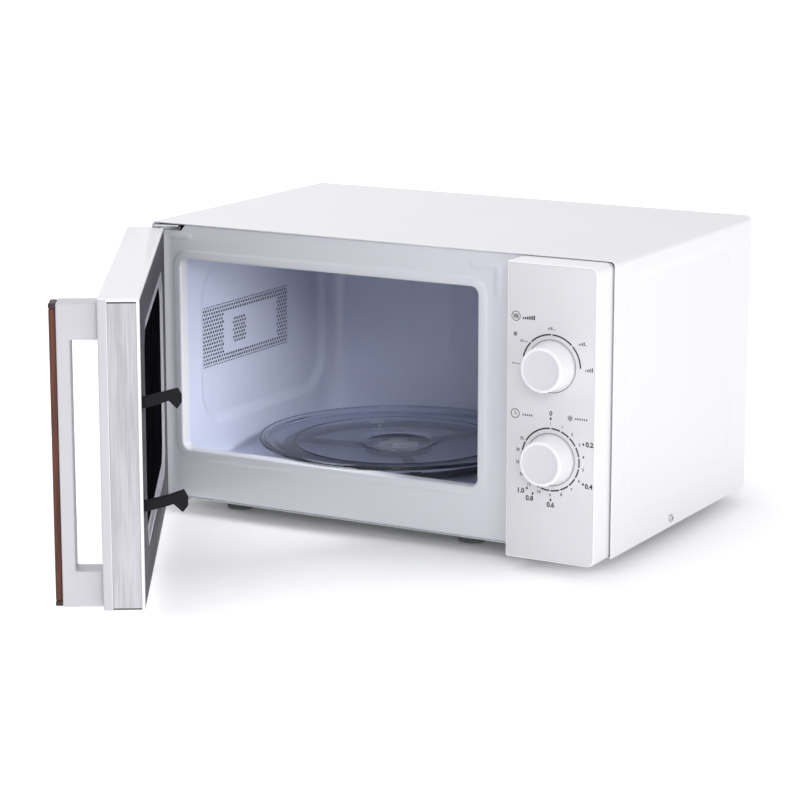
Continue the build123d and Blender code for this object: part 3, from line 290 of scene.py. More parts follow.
def block(name, low, high, *materials, width=0.4 * MM, segments=3):
    """A block between two corners with rounded edges."""
    loop = [(low[0], low[2]), (high[0], low[2]), (high[0], high[2]), (low[0], high[2])]
    return prism(name, loop, low[1], high[1], *materials, width=width, segments=segments)


def prism(name, points, y0, y1, *materials, width=0.0, segments=3):
    """An upright outline made solid between two values of y."""
    rows = [upright(points, y0), upright(points, y1)]
    corners, faces = skin(rows, cap_first=True, cap_last=True)
    made = from_points(name, corners, faces, *materials)
    return bevelled(made, width, segments) if width else made


def layered(name, shape, steps, *materials):
    """A solid through one outline at several insets, given with their y as (inset in mm, y)."""
    rows = [upright(shape(inset * MM), y) for inset, y in steps]
    return from_points(name, *skin(rows, cap_first=True, cap_last=True), *materials)


def join(name, *parts):
    """Several pieces as one mesh, in the first one's materials."""
    shape = bmesh.new()
    for part in parts:
        shape.from_mesh(part.data)
    mesh = bpy.data.meshes.new(name)
    shape.to_mesh(mesh)
    shape.free()
    materials = list(parts[0].data.materials)
    for part in parts:
        bpy.data.objects.remove(part)
    soften(mesh)
    return new_piece(name, mesh, *materials)


def place(made, body, slot, *nodes, on_door=False):
    """Swing a door piece to its place, put it under its body, and hide the CAD nodes that it stands for."""
    if on_door:
        made.data.transform(SWING)
    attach(made, body)
    if nodes:
        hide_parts(*nodes)
    return made


# ------------------------------------------------------------------ Geometry Nodes trees

class Recipe:
    """A Geometry Nodes tree with named inputs. Its last steps realize and paint the result."""

    def __init__(self, name, **sockets):
        self.tree = bpy.data.node_groups.new(name, "GeometryNodeTree")
        interface = self.tree.interface
        interface.new_socket("Geometry", in_out="INPUT", socket_type="NodeSocketGeometry")
        interface.new_socket("Geometry", in_out="OUTPUT", socket_type="NodeSocketGeometry")
        self.keys = {}
        for label, kind in {**sockets, "Material": "Material"}.items():
            socket = interface.new_socket(label, in_out="INPUT", socket_type="NodeSocket" + kind)
            self.keys[label] = socket.identifier
        self.start = self.tree.nodes.new("NodeGroupInput")
        self.end = self.tree.nodes.new("NodeGroupOutput")

    def given(self, label):
        """The named input's socket."""
        return self.start.outputs[label]

    def add(self, kind, links=(), **settings):
        """A node with its settings, and its inputs linked or set by name or number."""
        node = self.tree.nodes.new(kind)
        for setting, value in settings.items():
            setattr(node, setting, value)
        for socket, value in dict(links).items():
            if isinstance(value, bpy.types.NodeSocket):
                self.tree.links.new(value, node.inputs[socket])
            else:
                node.inputs[socket].default_value = value
        return node

    def math(self, operation, first, second=0.0):
        """One sum on two values."""
        return self.add("ShaderNodeMath", {0: first, 1: second}, operation=operation).outputs[0]

    def close(self, geometry):
        """Realize and paint the result, and give it out."""
        real = self.add("GeometryNodeRealizeInstances", {"Geometry": geometry})
        paint = self.add(
            "GeometryNodeSetMaterial",
            {"Geometry": real.outputs[0], "Material": self.given("Material")},
        )
        self.tree.links.new(paint.outputs[0], self.end.inputs[0])
        return self

    def run(self, name, seed, **values):
        """A plain mesh piece made by this tree from a seed mesh and the named inputs."""
        made = new_piece(name, seed)
        steps = made.modifiers.new("recipe", "NODES")
        steps.node_group = self.tree
        for label, value in values.items():
            steps[self.keys[label]] = value
        graph = bpy.context.evaluated_depsgraph_get()
        mesh = bpy.data.meshes.new_from_object(made.evaluated_get(graph))
        made.modifiers.clear()
        made.data = mesh
        soften(mesh)
        return made


def scattered_copies():
    """Copies of one shape on a mesh's points, all turned the same way."""
    recipe = Recipe("scattered copies", Shape="Object", Turn="Vector")
    shape = recipe.add("GeometryNodeObjectInfo", {"Object": recipe.given("Shape")})
    turn = recipe.add("FunctionNodeEulerToRotation", {0: recipe.given("Turn")})
    copies = recipe.add("GeometryNodeInstanceOnPoints", {
        "Points": recipe.given("Geometry"), "Instance": shape.outputs["Geometry"],
        "Rotation": turn.outputs[0],
    })
    return recipe.close(copies.outputs[0])


def printed_lines():
    """Flat raised lines along a mesh's edges, which thin out towards their ends."""
    recipe = Recipe("printed lines", Width="Float", Rise="Float", Taper="Float")
    curve = recipe.add("GeometryNodeMeshToCurve", {"Mesh": recipe.given("Geometry")})
    level = recipe.add(
        "GeometryNodeSetCurveNormal", {"Curve": curve.outputs[0], "Normal": (0.0, 1.0, 0.0)},
        mode="FREE",
    )
    along = recipe.add("GeometryNodeSplineParameter").outputs["Factor"]
    nearer = recipe.math("MINIMUM", along, recipe.math("SUBTRACT", 1.0, along))
    share = recipe.math("DIVIDE", nearer, recipe.given("Taper"))
    radius = recipe.math("MAXIMUM", recipe.math("MINIMUM", share, 1.0), 0.35)
    sized = recipe.add(
        "GeometryNodeSetCurveRadius", {"Curve": level.outputs[0], "Radius": radius},
    )
    band = recipe.add("GeometryNodeCurvePrimitiveQuadrilateral", {
        "Width": recipe.given("Rise"), "Height": recipe.given("Width"),
    })
    solid = recipe.add("GeometryNodeCurveToMesh", {
        "Curve": sized.outputs[0], "Profile Curve": band.outputs[0], "Fill Caps": True,
    })
    return recipe.close(solid.outputs[0])


def pierced_sheet():
    """A sheet of six-sided tiles. A tile is pierced outside the blank field or in its patch."""
    recipe = Recipe(
        "pierced sheet", Pierced="Object", Plain="Object", Columns="Int", Rows="Int",
        Pitch="Float", Blank="Vector", Patch="Vector", Middle="Vector", Turn="Vector",
    )
    pitch = recipe.given("Pitch")
    gaps = recipe.math("SUBTRACT", recipe.given("Columns"), 1.0)
    across = recipe.math("MULTIPLY", gaps, pitch)
    rise = recipe.math("MULTIPLY", pitch, sqrt(3) / 2)
    up = recipe.math("MULTIPLY", recipe.math("SUBTRACT", recipe.given("Rows"), 1.0), rise)
    grid = recipe.add("GeometryNodeMeshGrid", {
        "Size X": across, "Size Y": up,
        "Vertices X": recipe.given("Columns"), "Vertices Y": recipe.given("Rows"),
    })
    position = recipe.add("GeometryNodeInputPosition").outputs[0]
    where = recipe.add("ShaderNodeSeparateXYZ", {0: position})
    height = recipe.math("ADD", where.outputs[1], recipe.math("MULTIPLY", up, 0.5))
    odd = recipe.math("MODULO", recipe.math("ROUND", recipe.math("DIVIDE", height, rise)), 2.0)
    half = recipe.math("MULTIPLY", pitch, 0.5)
    shift = recipe.math("MULTIPLY", recipe.math("SUBTRACT", odd, 0.5), half)
    offset = recipe.add("ShaderNodeCombineXYZ", {0: shift})
    staggered = recipe.add(
        "GeometryNodeSetPosition", {"Geometry": grid.outputs["Mesh"], "Offset": offset.outputs[0]},
    )

    def within(field):
        """1 where a point lies in a field given by its middle's x, half width and half height."""
        sizes = recipe.add("ShaderNodeSeparateXYZ", {0: recipe.given(field)})
        side = recipe.math("ABSOLUTE", recipe.math("SUBTRACT", where.outputs[0], sizes.outputs[0]))
        height = recipe.math("ABSOLUTE", where.outputs[1])
        narrow = recipe.math("LESS_THAN", side, sizes.outputs[1])
        return recipe.math("MULTIPLY", narrow, recipe.math("LESS_THAN", height, sizes.outputs[2]))

    holed = recipe.math("MAXIMUM", recipe.math("SUBTRACT", 1.0, within("Blank")), within("Patch"))
    holes = recipe.math("GREATER_THAN", holed, 0.5)
    layers = []
    for label, chosen in (("Pierced", holes), ("Plain", recipe.math("SUBTRACT", 1.0, holes))):
        tile = recipe.add("GeometryNodeObjectInfo", {"Object": recipe.given(label)})
        layers.append(recipe.add("GeometryNodeInstanceOnPoints", {
            "Points": staggered.outputs[0], "Instance": tile.outputs["Geometry"],
            "Selection": chosen,
        }).outputs[0])
    both = recipe.add("GeometryNodeJoinGeometry")
    for layer in layers:
        recipe.tree.links.new(layer, both.inputs[0])
    real = recipe.add("GeometryNodeRealizeInstances", {"Geometry": both.outputs[0]})
    whole = recipe.add(
        "GeometryNodeMergeByDistance", {"Geometry": real.outputs[0], "Distance": 0.00002},
    )
    stood = recipe.add("GeometryNodeTransform", {
        "Geometry": whole.outputs[0], "Translation": recipe.given("Middle"),
        "Rotation": recipe.given("Turn"),
    })
    return recipe.close(stood.outputs[0])


def wound_wire():
    """A round wire wound into a spring."""
    recipe = Recipe(
        "wound wire", Radius="Float", Wire="Float", Height="Float", Turns="Float", Foot="Vector",
    )
    coil = recipe.add("GeometryNodeCurveSpiral", {
        "Resolution": 24, "Rotations": recipe.given("Turns"), "Height": recipe.given("Height"),
        "Start Radius": recipe.given("Radius"), "End Radius": recipe.given("Radius"),
    })
    section = recipe.add(
        "GeometryNodeCurvePrimitiveCircle", {"Resolution": 10, "Radius": recipe.given("Wire")},
        mode="RADIUS",
    )
    wire = recipe.add("GeometryNodeCurveToMesh", {
        "Curve": coil.outputs[0], "Profile Curve": section.outputs[0], "Fill Caps": True,
    })
    moved = recipe.add(
        "GeometryNodeTransform", {"Geometry": wire.outputs[0], "Translation": recipe.given("Foot")},
    )
    return recipe.close(moved.outputs[0])


copies = scattered_copies()
ink_lines = printed_lines()
sheet_recipe = pierced_sheet()
spring_recipe = wound_wire()


# ------------------------------------------------------------------ materials

class Finish:
    """A node-based material. Patterns read Object coordinates, in metres."""

    def __init__(self, name, colour, roughness, metallic=0.0, **sockets):
        self.material = bpy.data.materials.new(name)
        self.material.use_nodes = True
        self.tree = self.material.node_tree
        self.shader = self.tree.nodes["Principled BSDF"]
        self.shader.inputs["Base Color"].default_value = (*colour, 1)
        self.shader.inputs["Roughness"].default_value = roughness
        self.shader.inputs["Metallic"].default_value = metallic
        for socket, value in sockets.items():
            self.shader.inputs[socket.replace("_", " ")].default_value = value
        self.place = self.tree.nodes.new("ShaderNodeTexCoord").outputs["Object"]
        self.height = None

    def node(self, kind, links=(), **settings):
        """A shader node with its inputs linked or set."""
        made = self.tree.nodes.new(kind)
        for setting, value in settings.items():
            setattr(made, setting, value)
        for socket, value in dict(links).items():
            if isinstance(value, bpy.types.NodeSocket):
                self.tree.links.new(value, made.inputs[socket])
            else:
                made.inputs[socket].default_value = value
        return made

    def stretched(self, scale, turn=0.0):
        """Object coordinates turned about Z and stretched."""
        return self.node(
            "ShaderNodeMapping", {"Vector": self.place, "Rotation": (0, 0, turn), "Scale": scale},
        ).outputs[0]

    def noise(self, scale, detail=3.0, stretch=(1, 1, 1), turn=0.0, rough=0.5):
        """Noise with that many features to the metre."""
        return self.node("ShaderNodeTexNoise", {
            "Vector": self.stretched(stretch, turn), "Scale": scale, "Detail": detail,
            "Roughness": rough,
        }).outputs["Fac"]

    def remap(self, value, low, high, start=0.35, end=0.65):
        """A noise value spread from low to high."""
        return self.node("ShaderNodeMapRange", {
            "Value": value, "From Min": start, "From Max": end, "To Min": low, "To Max": high,
        }).outputs[0]

    def tint(self, value, first, second):
        """Colour from one to the other by a value from 0 to 1."""
        mix = self.node("ShaderNodeMix", {"Factor": value}, data_type="RGBA")
        mix.inputs[6].default_value = (*first, 1)
        mix.inputs[7].default_value = (*second, 1)
        self.tree.links.new(mix.outputs[2], self.shader.inputs["Base Color"])
        return self

    def rough(self, value, low, high):
        """Roughness that varies with a noise value."""
        self.tree.links.new(self.remap(value, low, high), self.shader.inputs["Roughness"])
        return self

    def relief(self, value, distance, strength=1.0):
        """Bump of that many metres."""
        links = {"Height": value, "Distance": distance, "Strength": strength}
        if self.height is not None:
            links["Normal"] = self.height
        self.height = self.node("ShaderNodeBump", links).outputs[0]
        self.tree.links.new(self.height, self.shader.inputs["Normal"])
        return self


def shade(colour, factor):
    """A colour made lighter or darker."""
    return tuple(min(1.0, channel * factor) for channel in colour)


def enamel(name, colour, roughness=0.34):
    """Baked enamel on sheet steel, with a faint orange peel and slow changes of tone."""
    made = Finish(name, colour, roughness, Coat_Weight=0.25, Coat_Roughness=0.12)
    slow = made.remap(made.noise(9, 2), 0, 1, 0.2, 0.8)
    made.tint(slow, shade(colour, 0.99), shade(colour, 1.01))
    made.rough(made.noise(7, 3), roughness - 0.012, roughness + 0.015)
    made.relief(made.noise(260, 2), 0.002 * MM, 0.25)
    return made.material


def moulded(name, colour, roughness=0.32, coat=0.15, gloss=0.5):
    """Injection moulded plastic, smooth, with slow changes of tone and a fine uneven sheen."""
    made = Finish(
        name, colour, roughness, Coat_Weight=coat, Coat_Roughness=0.2, Specular_IOR_Level=gloss,
    )
    made.tint(made.remap(made.noise(14, 3), 0, 1), shade(colour, 0.985), shade(colour, 1.01))
    made.rough(made.noise(1800, 2), roughness - 0.015, roughness + 0.02)
    return made.material


def sheet_metal(name, colour, roughness=0.38, spangle=190.0):
    """Zinc plated sheet with a soft crystal pattern and fine rolling lines."""
    made = Finish(name, colour, roughness, metallic=1.0)
    crystals = made.node("ShaderNodeTexVoronoi", {"Vector": made.place, "Scale": spangle})
    grey = made.node("ShaderNodeRGBToBW", {"Color": crystals.outputs["Color"]}).outputs[0]
    made.tint(made.remap(grey, 0, 1, 0.0, 1.0), shade(colour, 0.95), shade(colour, 1.04))
    made.rough(made.noise(300, 3, (1, 14, 1)), roughness - 0.08, roughness + 0.1)
    made.relief(made.noise(500, 3, (1, 10, 1)), 0.01 * MM, 0.3)
    return made.material


def plated(name, colour, roughness=0.2):
    """Bright plated steel, turned or drawn."""
    made = Finish(name, colour, roughness, metallic=1.0)
    made.tint(made.remap(made.noise(180, 3), 0, 1), shade(colour, 0.85), shade(colour, 1.08))
    made.rough(made.noise(900, 3), roughness - 0.06, roughness + 0.12)
    made.relief(made.noise(1500, 2), 0.006 * MM, 0.3)
    return made.material


def rubber(name, colour):
    """Matt rubber with a dusty bloom."""
    made = Finish(name, colour, 0.72)
    made.tint(made.remap(made.noise(120, 4), 0, 1), shade(colour, 0.85), shade(colour, 1.1))
    made.rough(made.noise(200, 3), 0.6, 0.82)
    made.relief(made.noise(1800, 3), 0.03 * MM, 0.5)
    return made.material


def brushed_trim(name, colour):
    """Printed plastic foil with broken upright streaks."""
    made = Finish(name, colour, 0.42, Coat_Weight=0.1, Coat_Roughness=0.3)
    streaks = made.noise(620, 4, (1, 1, 0.035), rough=0.62)
    slow = made.noise(75, 3, (1, 1, 0.12))
    both = made.node("ShaderNodeMath", {0: streaks, 1: slow}, operation="ADD").outputs[0]
    made.tint(made.remap(both, 0, 1, 0.8, 1.2), shade(colour, 0.80), shade(colour, 1.10))
    made.rough(streaks, 0.34, 0.55)
    made.relief(streaks, 0.12 * MM, 0.6)
    return made.material


def walnut(name):
    """Dark reddish wood with long upright grain and open pores, under a satin varnish."""
    dark, light = (0.030, 0.007, 0.006), (0.165, 0.058, 0.034)
    made = Finish(name, light, 0.42, Coat_Weight=0.06, Coat_Roughness=0.3, Specular_IOR_Level=0.25)
    figure = made.noise(55, 4, (1, 1, 0.05), rough=0.6)
    fine = made.noise(900, 5, (1, 1, 0.02), rough=0.7)
    both = made.node("ShaderNodeMath", {0: figure, 1: fine}, operation="ADD").outputs[0]
    made.tint(made.remap(both, 0, 1, 0.78, 1.22), dark, light)
    made.rough(fine, 0.32, 0.52)
    made.relief(fine, 0.05 * MM, 0.5)
    return made.material


def clear_glass(name, colour):
    """Pressed clear glass."""
    made = Finish(name, colour, 0.03, Transmission_Weight=1.0, IOR=1.47)
    made.rough(made.noise(40, 2), 0.02, 0.05)
    made.relief(made.noise(55, 2), 0.08 * MM, 0.25)
    return made.material


def dark_pane(name, colour, roughness=0.04):
    """Glossy tinted glass, nearly opaque."""
    made = Finish(name, colour, roughness, Coat_Weight=0.6, Coat_Roughness=0.02, IOR=1.5)
    made.tint(made.remap(made.noise(25, 2), 0, 1), shade(colour, 0.8), shade(colour, 1.3))
    made.rough(made.noise(90, 2), roughness - 0.01, roughness + 0.03)
    made.relief(made.noise(18, 1), 0.05 * MM, 0.05)
    return made.material


def satin_film(name, colour):
    """Black film laid over the inside of the window, with hardly any gloss."""
    made = Finish(name, colour, 0.5, Specular_IOR_Level=0.0)
    made.tint(made.remap(made.noise(30, 3), 0, 1), shade(colour, 0.7), shade(colour, 1.4))
    made.rough(made.noise(60, 2), 0.42, 0.6)
    return made.material


def printed(name, colour):
    """Screen printed ink."""
    made = Finish(name, colour, 0.5)
    made.tint(made.remap(made.noise(2500, 3), 0, 1), shade(colour, 0.8), shade(colour, 1.5))
    made.relief(made.noise(4000, 2), 0.004 * MM, 0.3)
    return made.material


def laminated(name, colour, pitch=0.5 * MM):
    """A stack of varnished steel sheets, seen edge on."""
    made = Finish(name, colour, 0.42, metallic=0.7)
    sheets = made.node("ShaderNodeTexWave", {
        "Vector": made.place, "Scale": 0.05 / pitch, "Distortion": 0.3,
    }, bands_direction="Y").outputs["Fac"]
    made.tint(sheets, shade(colour, 0.5), shade(colour, 1.5))
    made.relief(sheets, 0.15 * MM, 0.6)
    return made.material


def wound_copper(name, colour, pitch=0.8 * MM):
    """Enamelled wire laid side by side."""
    made = Finish(name, colour, 0.3, metallic=0.85, Coat_Weight=0.4)
    wires = made.node("ShaderNodeTexWave", {
        "Vector": made.place, "Scale": 0.05 / pitch, "Distortion": 0.6,
    }, bands_direction="Z").outputs["Fac"]
    made.tint(wires, shade(colour, 0.4), shade(colour, 1.4))
    made.relief(wires, 0.4 * MM, 0.8)
    return made.material


def mica(name, colour):
    """A pressed mica sheet with pale flakes."""
    made = Finish(name, colour, 0.45, Coat_Weight=0.3)
    cells = made.node("ShaderNodeTexVoronoi", {"Vector": made.place, "Scale": 260})
    flakes = cells.outputs["Distance"]
    made.tint(made.remap(flakes, 0, 1, 0.0, 0.6), shade(colour, 0.75), shade(colour, 1.25))
    made.relief(flakes, 0.03 * MM, 0.4)
    return made.material


def board(name, colour):
    """A lacquered circuit board."""
    made = Finish(name, colour, 0.35, Coat_Weight=0.5)
    tracks = made.node("ShaderNodeTexBrick", {
        "Vector": made.place, "Scale": 90, "Color1": (*shade(colour, 0.7), 1),
        "Color2": (*shade(colour, 1.3), 1), "Mortar": (*shade(colour, 1.8), 1), "Mortar Size": 0.03,
    }).outputs["Color"]
    made.tree.links.new(tracks, made.shader.inputs["Base Color"])
    return made.material


WHITE = (0.825, 0.822, 0.845)
materials = {
    "cabinet_paint": enamel("cabinet_enamel", (0.80, 0.796, 0.81)),
    "front_enamel": enamel("front_plate_enamel", (0.675, 0.688, 0.735), 0.30),
    "chamber_enamel": enamel("chamber_enamel", (0.585, 0.62, 0.765), 0.32),
    "bare_steel": sheet_metal("plated_sheet", (0.62, 0.63, 0.65)),
    "laminate_steel": laminated("laminations", (0.12, 0.11, 0.11)),
    "copper_winding": wound_copper("winding_wire", (0.55, 0.24, 0.10)),
    "aluminium_fin": sheet_metal("plain_aluminium", (0.80, 0.81, 0.83), 0.3, 20),
    "mica": mica("mica_sheet", (0.62, 0.55, 0.45)),
    "white_plastic": moulded("white_moulding", WHITE, 0.28),
    "knob_plastic": moulded("knob_moulding", (0.655, 0.65, 0.69), 0.38, 0.0),
    "panel_overlay": moulded("silver_overlay", (0.70, 0.696, 0.722), 0.45, 0.0, 0.4),
    "trim_plastic": brushed_trim("brushed_trim", (0.505, 0.50, 0.535)),
    "choke_plastic": moulded("choke_moulding", (0.085, 0.08, 0.09), 0.5, 0.0, 0.06),
    "bezel_paint": enamel("bezel_paint", (0.36, 0.355, 0.39), 0.36),
    "window_film": satin_film("window_film", (0.004, 0.004, 0.005)),
    "door_pane": dark_pane("door_pane", (0.02, 0.021, 0.025), 0.03),
    "tray_glass": clear_glass("pressed_glass", (0.86, 0.89, 0.94)),
    "hook_plastic": moulded("hook_moulding", (0.008, 0.007, 0.009), 0.4, 0.0, 0.15),
    "handle_wood": walnut("handle_wood"),
    "dark_plastic": moulded("dark_moulding", (0.05, 0.05, 0.055), 0.45),
    "pale_plastic": moulded("pale_moulding", (0.66, 0.65, 0.60), 0.42),
    "board_green": board("circuit_board", (0.05, 0.22, 0.11)),
    "foot_rubber": rubber("foot_rubber", (0.19, 0.195, 0.19)),
    "lamp_glass": clear_glass("bulb_glass", (0.95, 0.94, 0.9)),
    "screw_steel": plated("plated_screws", (0.66, 0.66, 0.68)),
}
ink = printed("panel_ink_and_painted_shadow", (0.012, 0.012, 0.018))
# Black moulding for the handle's end caps, also used for the painted shadow strip along the trim's top edge.
black_caps_and_trim_shadow = moulded("black_caps_and_painted_trim_shadow", (0.045, 0.03, 0.03), 0.4, 0.0, 0.3)
# Near black for the cabinet's inside face: a primer, darkened so that the space behind the chamber's air holes
# reads dark, which is painted shade.
lining_primer_and_painted_shade = enamel("near_black_lining_painted_shade", (0.10, 0.10, 0.115), 0.6)
# Grey moulding: the door casing's front face and the front strip of its sides are grey of their own; the handle is
# white plastic, so on the handle the grey is painted shade.
band_grey_and_handle_shade = moulded("band_grey_and_painted_handle_shade", (0.555, 0.55, 0.58), 0.4, 0.0, 0.4)

for subpart in frame["record"]["subparts"]:
    shown = frame["nodes"][subpart["node"]]
    shown.data.materials.clear()
    shown.data.materials.append(materials[subpart["material_slot"]])
    soften(shown.data)


# ------------------------------------------------------------------ cabinet

DEPTH_STEP = 3 * MM
EMBOSS = (-17 * MM, 205 * MM, 46 * MM, 238 * MM)      # y0, y1, z0, z1 of each side's pressed field
EMBOSS_RADIUS = 26 * MM
EMBOSS_DEPTH = 1.0 * MM


def cabinet_profile(inset):
    """The cabinet's section from the left skirt over the roof to the right one."""
    bend = 5 * MM
    turns = [radians(90 * step / 8) for step in range(9)]
    low, high = cabinet_low.z, cabinet_high.z
    side = lines(low, high - bend, 3.2 * MM, EMBOSS[2], EMBOSS[3])
    points = [(left + inset, z) for z in side]
    points += [
        (left + bend - (bend - inset) * cos(turn), high - bend + (bend - inset) * sin(turn))
        for turn in turns[1:]
    ]
    points += [(x, high - inset) for x in lines(left + bend, right - bend, 12 * MM)[1:-1]]
    points += [
        (right - bend + (bend - inset) * sin(turn), high - bend + (bend - inset) * cos(turn))
        for turn in turns
    ]
    return points + [(right - inset, z) for z in reversed(side[:-1])]


def cabinet_shell():
    """The folded sheet steel cabinet: rolled front edge, softly pressed sides."""
    hem = 1.5 * MM
    front, rear = cabinet_low.y, cabinet_high.y
    rows = [(front + 7 * MM, hem), (front + hem, hem)]
    rows += [
        (front + hem / 2 - hem / 2 * sin(radians(turn)), hem / 2 + hem / 2 * cos(radians(turn)))
        for turn in (30, 60, 90, 120, 150)
    ]
    rows += [(y, 0) for y in lines(front + hem, rear, DEPTH_STEP, EMBOSS[0], EMBOSS[1])]
    points = []
    for y, inset in rows:
        row = []
        for x, z in cabinet_profile(inset):
            pressed = EMBOSS_DEPTH * ease(inside_depth(y, z, EMBOSS, EMBOSS_RADIUS) / (3.5 * MM))
            if min(x - left, right - x) < 2 * MM and inset == 0:
                x += pressed if x < 0.1 else -pressed
            row.append((x, y, z))
        points.append(row)
    corners, faces = skin(points, closed=False)
    shell = from_points("cabinet_shell", corners, faces, outward=False)
    highest = max(shell.data.polygons, key=lambda polygon: polygon.center.z)
    if highest.normal.z < 0:
        shell.data.flip_normals()
    shell.data.materials.append(materials["cabinet_paint"])
    # The inside face takes the near-black lining: painted shade behind the air holes.
    shell.data.materials.append(lining_primer_and_painted_shade)
    return walled(shell, 0.8 * MM, angle=28, lined=True)


shell = cabinet_shell()
place(shell, "oven", "cabinet_paint", "outer_cabinet")

# ------------------------------------------------------------------ front plate

OPENING = (-36 * MM, 252 * MM, 56 * MM, 223 * MM)     # x0, x1, z0, z1 of the chamber's mouth
OPENING_RADIUS = 7 * MM
LIP_WIDTH = 9 * MM
LIP_RISE = 0.9 * MM
LIP_FIELD = 12 * MM
BEADS = (                       # each bead's two ends (x, z)
    ((-56.1 * MM, 242.6 * MM), (-27.9 * MM, 242.6 * MM)),
    ((247.4 * MM, 241.6 * MM), (268.6 * MM, 241.6 * MM)),
    ((270.0 * MM, 219.9 * MM), (270.0 * MM, 239.1 * MM)),
)
BEAD_HALF = 3.0 * MM            # half a bead's width


def bead_rise(x, z):
    """How far the pressed beads stand out of the front plate at a point."""
    rise = 0.0
    for (x0, z0), (x1, z1) in BEADS:
        length = hypot(x1 - x0, z1 - z0)
        along = ((x - x0) * (x1 - x0) + (z - z0) * (z1 - z0)) / length ** 2
        along = max(0.0, min(1.0, along))
        away = hypot(x - x0 - along * (x1 - x0), z - z0 - along * (z1 - z0))
        rise = max(rise, LIP_RISE * ease(2.4 * (1 - away / BEAD_HALF)))
    return rise


def lip_rows():
    """The mouth's lip, from the flat plate over its rounded crest and back into the chamber."""
    x0, x1, z0, z1 = OPENING
    rows = []

    def ring(out, y, radius=None):
        """Add a ring that lies outside the mouth by a distance, at a depth y."""
        edge = OPENING_RADIUS + max(out, -3 * MM) if radius is None else radius
        loop = outline(x0 - out, x1 + out, z0 - out, z1 + out, edge, sides=24, corners=10)
        rows.append(upright(loop, y))

    ring(LIP_FIELD, plate_face, 0.01 * MM)
    ring(LIP_WIDTH + 0.8 * MM, plate_face)
    for turn in (15, 35, 55, 75):
        share = radians(turn)
        ring(LIP_WIDTH + 0.8 * MM - 2.2 * MM * sin(share), plate_face - LIP_RISE * (1 - cos(share)))
    ring(LIP_WIDTH - 2.6 * MM, plate_face - LIP_RISE)
    ring(2.2 * MM, plate_face - LIP_RISE)
    for turn in range(15, 91, 15):
        share = radians(turn)
        ring(2.2 * MM * (1 - sin(share)), plate_face - LIP_RISE + 2.2 * MM * (1 - cos(share)))
    ring(0, plate_face + 9 * MM)
    return rows


def front_sheet():
    """The flat of the front plate with its beads, its rounded left edge and a hole for the lip."""
    x0, x1, z0, z1 = OPENING
    field = (x0 - LIP_FIELD, x1 + LIP_FIELD, z0 - LIP_FIELD, z1 + LIP_FIELD)
    roll, nip = 4.5 * MM, 0.35 * MM
    section = [(plate_low.x, plate_face + 14 * MM), (plate_low.x, plate_face + roll)]
    for turn in range(15, 90, 15):
        share = radians(turn)
        section.append(
            (plate_low.x + roll * (1 - cos(share)), plate_face + roll * (1 - sin(share)))
        )
    bead_lines = [bead[0][0] for bead in BEADS] + [bead[1][0] for bead in BEADS]
    stops = (plate_low.x + roll, plate_high.x - 1.2 * MM)
    flats = lines(*stops, 1.6 * MM, field[0], field[1], *bead_lines)
    section += [(x, plate_face) for x in flats]
    section += [(plate_high.x - nip, plate_face + nip), (plate_high.x, plate_face + 1.2 * MM)]
    heights = lines(plate_low.z + 1.2 * MM, plate_high.z - 1.2 * MM, 1.6 * MM, field[2], field[3])
    rows = [(plate_low.z, 1.2 * MM), (plate_low.z + nip, nip)] + [(z, 0) for z in heights]
    rows += [(plate_high.z - nip, nip), (plate_high.z, 1.2 * MM)]
    points = [
        [(x, y + back - (bead_rise(x, z) if y == plate_face else 0), z) for x, y in section]
        for z, back in rows
    ]
    corners, faces = skin(points, closed=False)

    def kept(face):
        """Whether a face is outside the lip's field."""
        x = sum(corners[index][0] for index in face) / len(face)
        z = sum(corners[index][2] for index in face) / len(face)
        return not (field[0] < x < field[1] and field[2] < z < field[3])

    return corners, [face for face in faces if kept(face)]


def facing_front(made):
    """Turn a sheet's faces so that they look out of the front."""
    total = sum(polygon.normal.y * polygon.area for polygon in made.data.polygons)
    if total > 0:
        made.data.flip_normals()
    return made


sheet = walled(facing_front(from_points("sheet", *front_sheet(), outward=False)), 0.8 * MM)
notch = [
    (-58.5 * MM, plate_high.z + 1 * MM), (-58.5 * MM, plate_high.z - 6 * MM),
    (-36.0 * MM, plate_high.z - 6 * MM), (-30.0 * MM, plate_high.z + 1 * MM),
]
cutters = [prism("notch", notch, plate_low.y - 2 * MM, plate_face + 20 * MM)]
for slot_low, slot_high in ((80 * MM, 109.5 * MM), (159.5 * MM, 189 * MM)):
    slot = outline(279.5 * MM, 286.6 * MM, slot_low, slot_high, 1.5 * MM, corners=4)
    cutters.append(prism("slot", slot, plate_low.y - 2 * MM, plate_face + 6 * MM))
cut_out(sheet, *cutters)
lip = walled(facing_front(from_points("lip", *skin(lip_rows()), outward=False)), 0.8 * MM, angle=40)
front = join("front_plate_pressing", sheet, lip)
front.data.materials.clear()
front.data.materials.append(materials["front_enamel"])
place(front, "oven", "front_enamel", "front_plate")

# ------------------------------------------------------------------ cooking chamber

CHAMBER_BEND = 4.5 * MM
DISH = (1 * MM, 213 * MM, 66 * MM, 210 * MM)          # y0, y1, z0, z1 of the left wall's dish
DISH_RADIUS = 34 * MM
DISH_DEPTH = vent_high.x * -1 - 40 * MM
chamber_left, chamber_right = -40 * MM, 256 * MM
chamber_front, chamber_back = -34.2 * MM, 226.8 * MM
chamber_floor, chamber_top = 38 * MM, 236 * MM
BACK_CORNER = 17 * MM
BACK_RIBS = (43 * MM, 87 * MM)                        # x of the back wall's two upright ribs


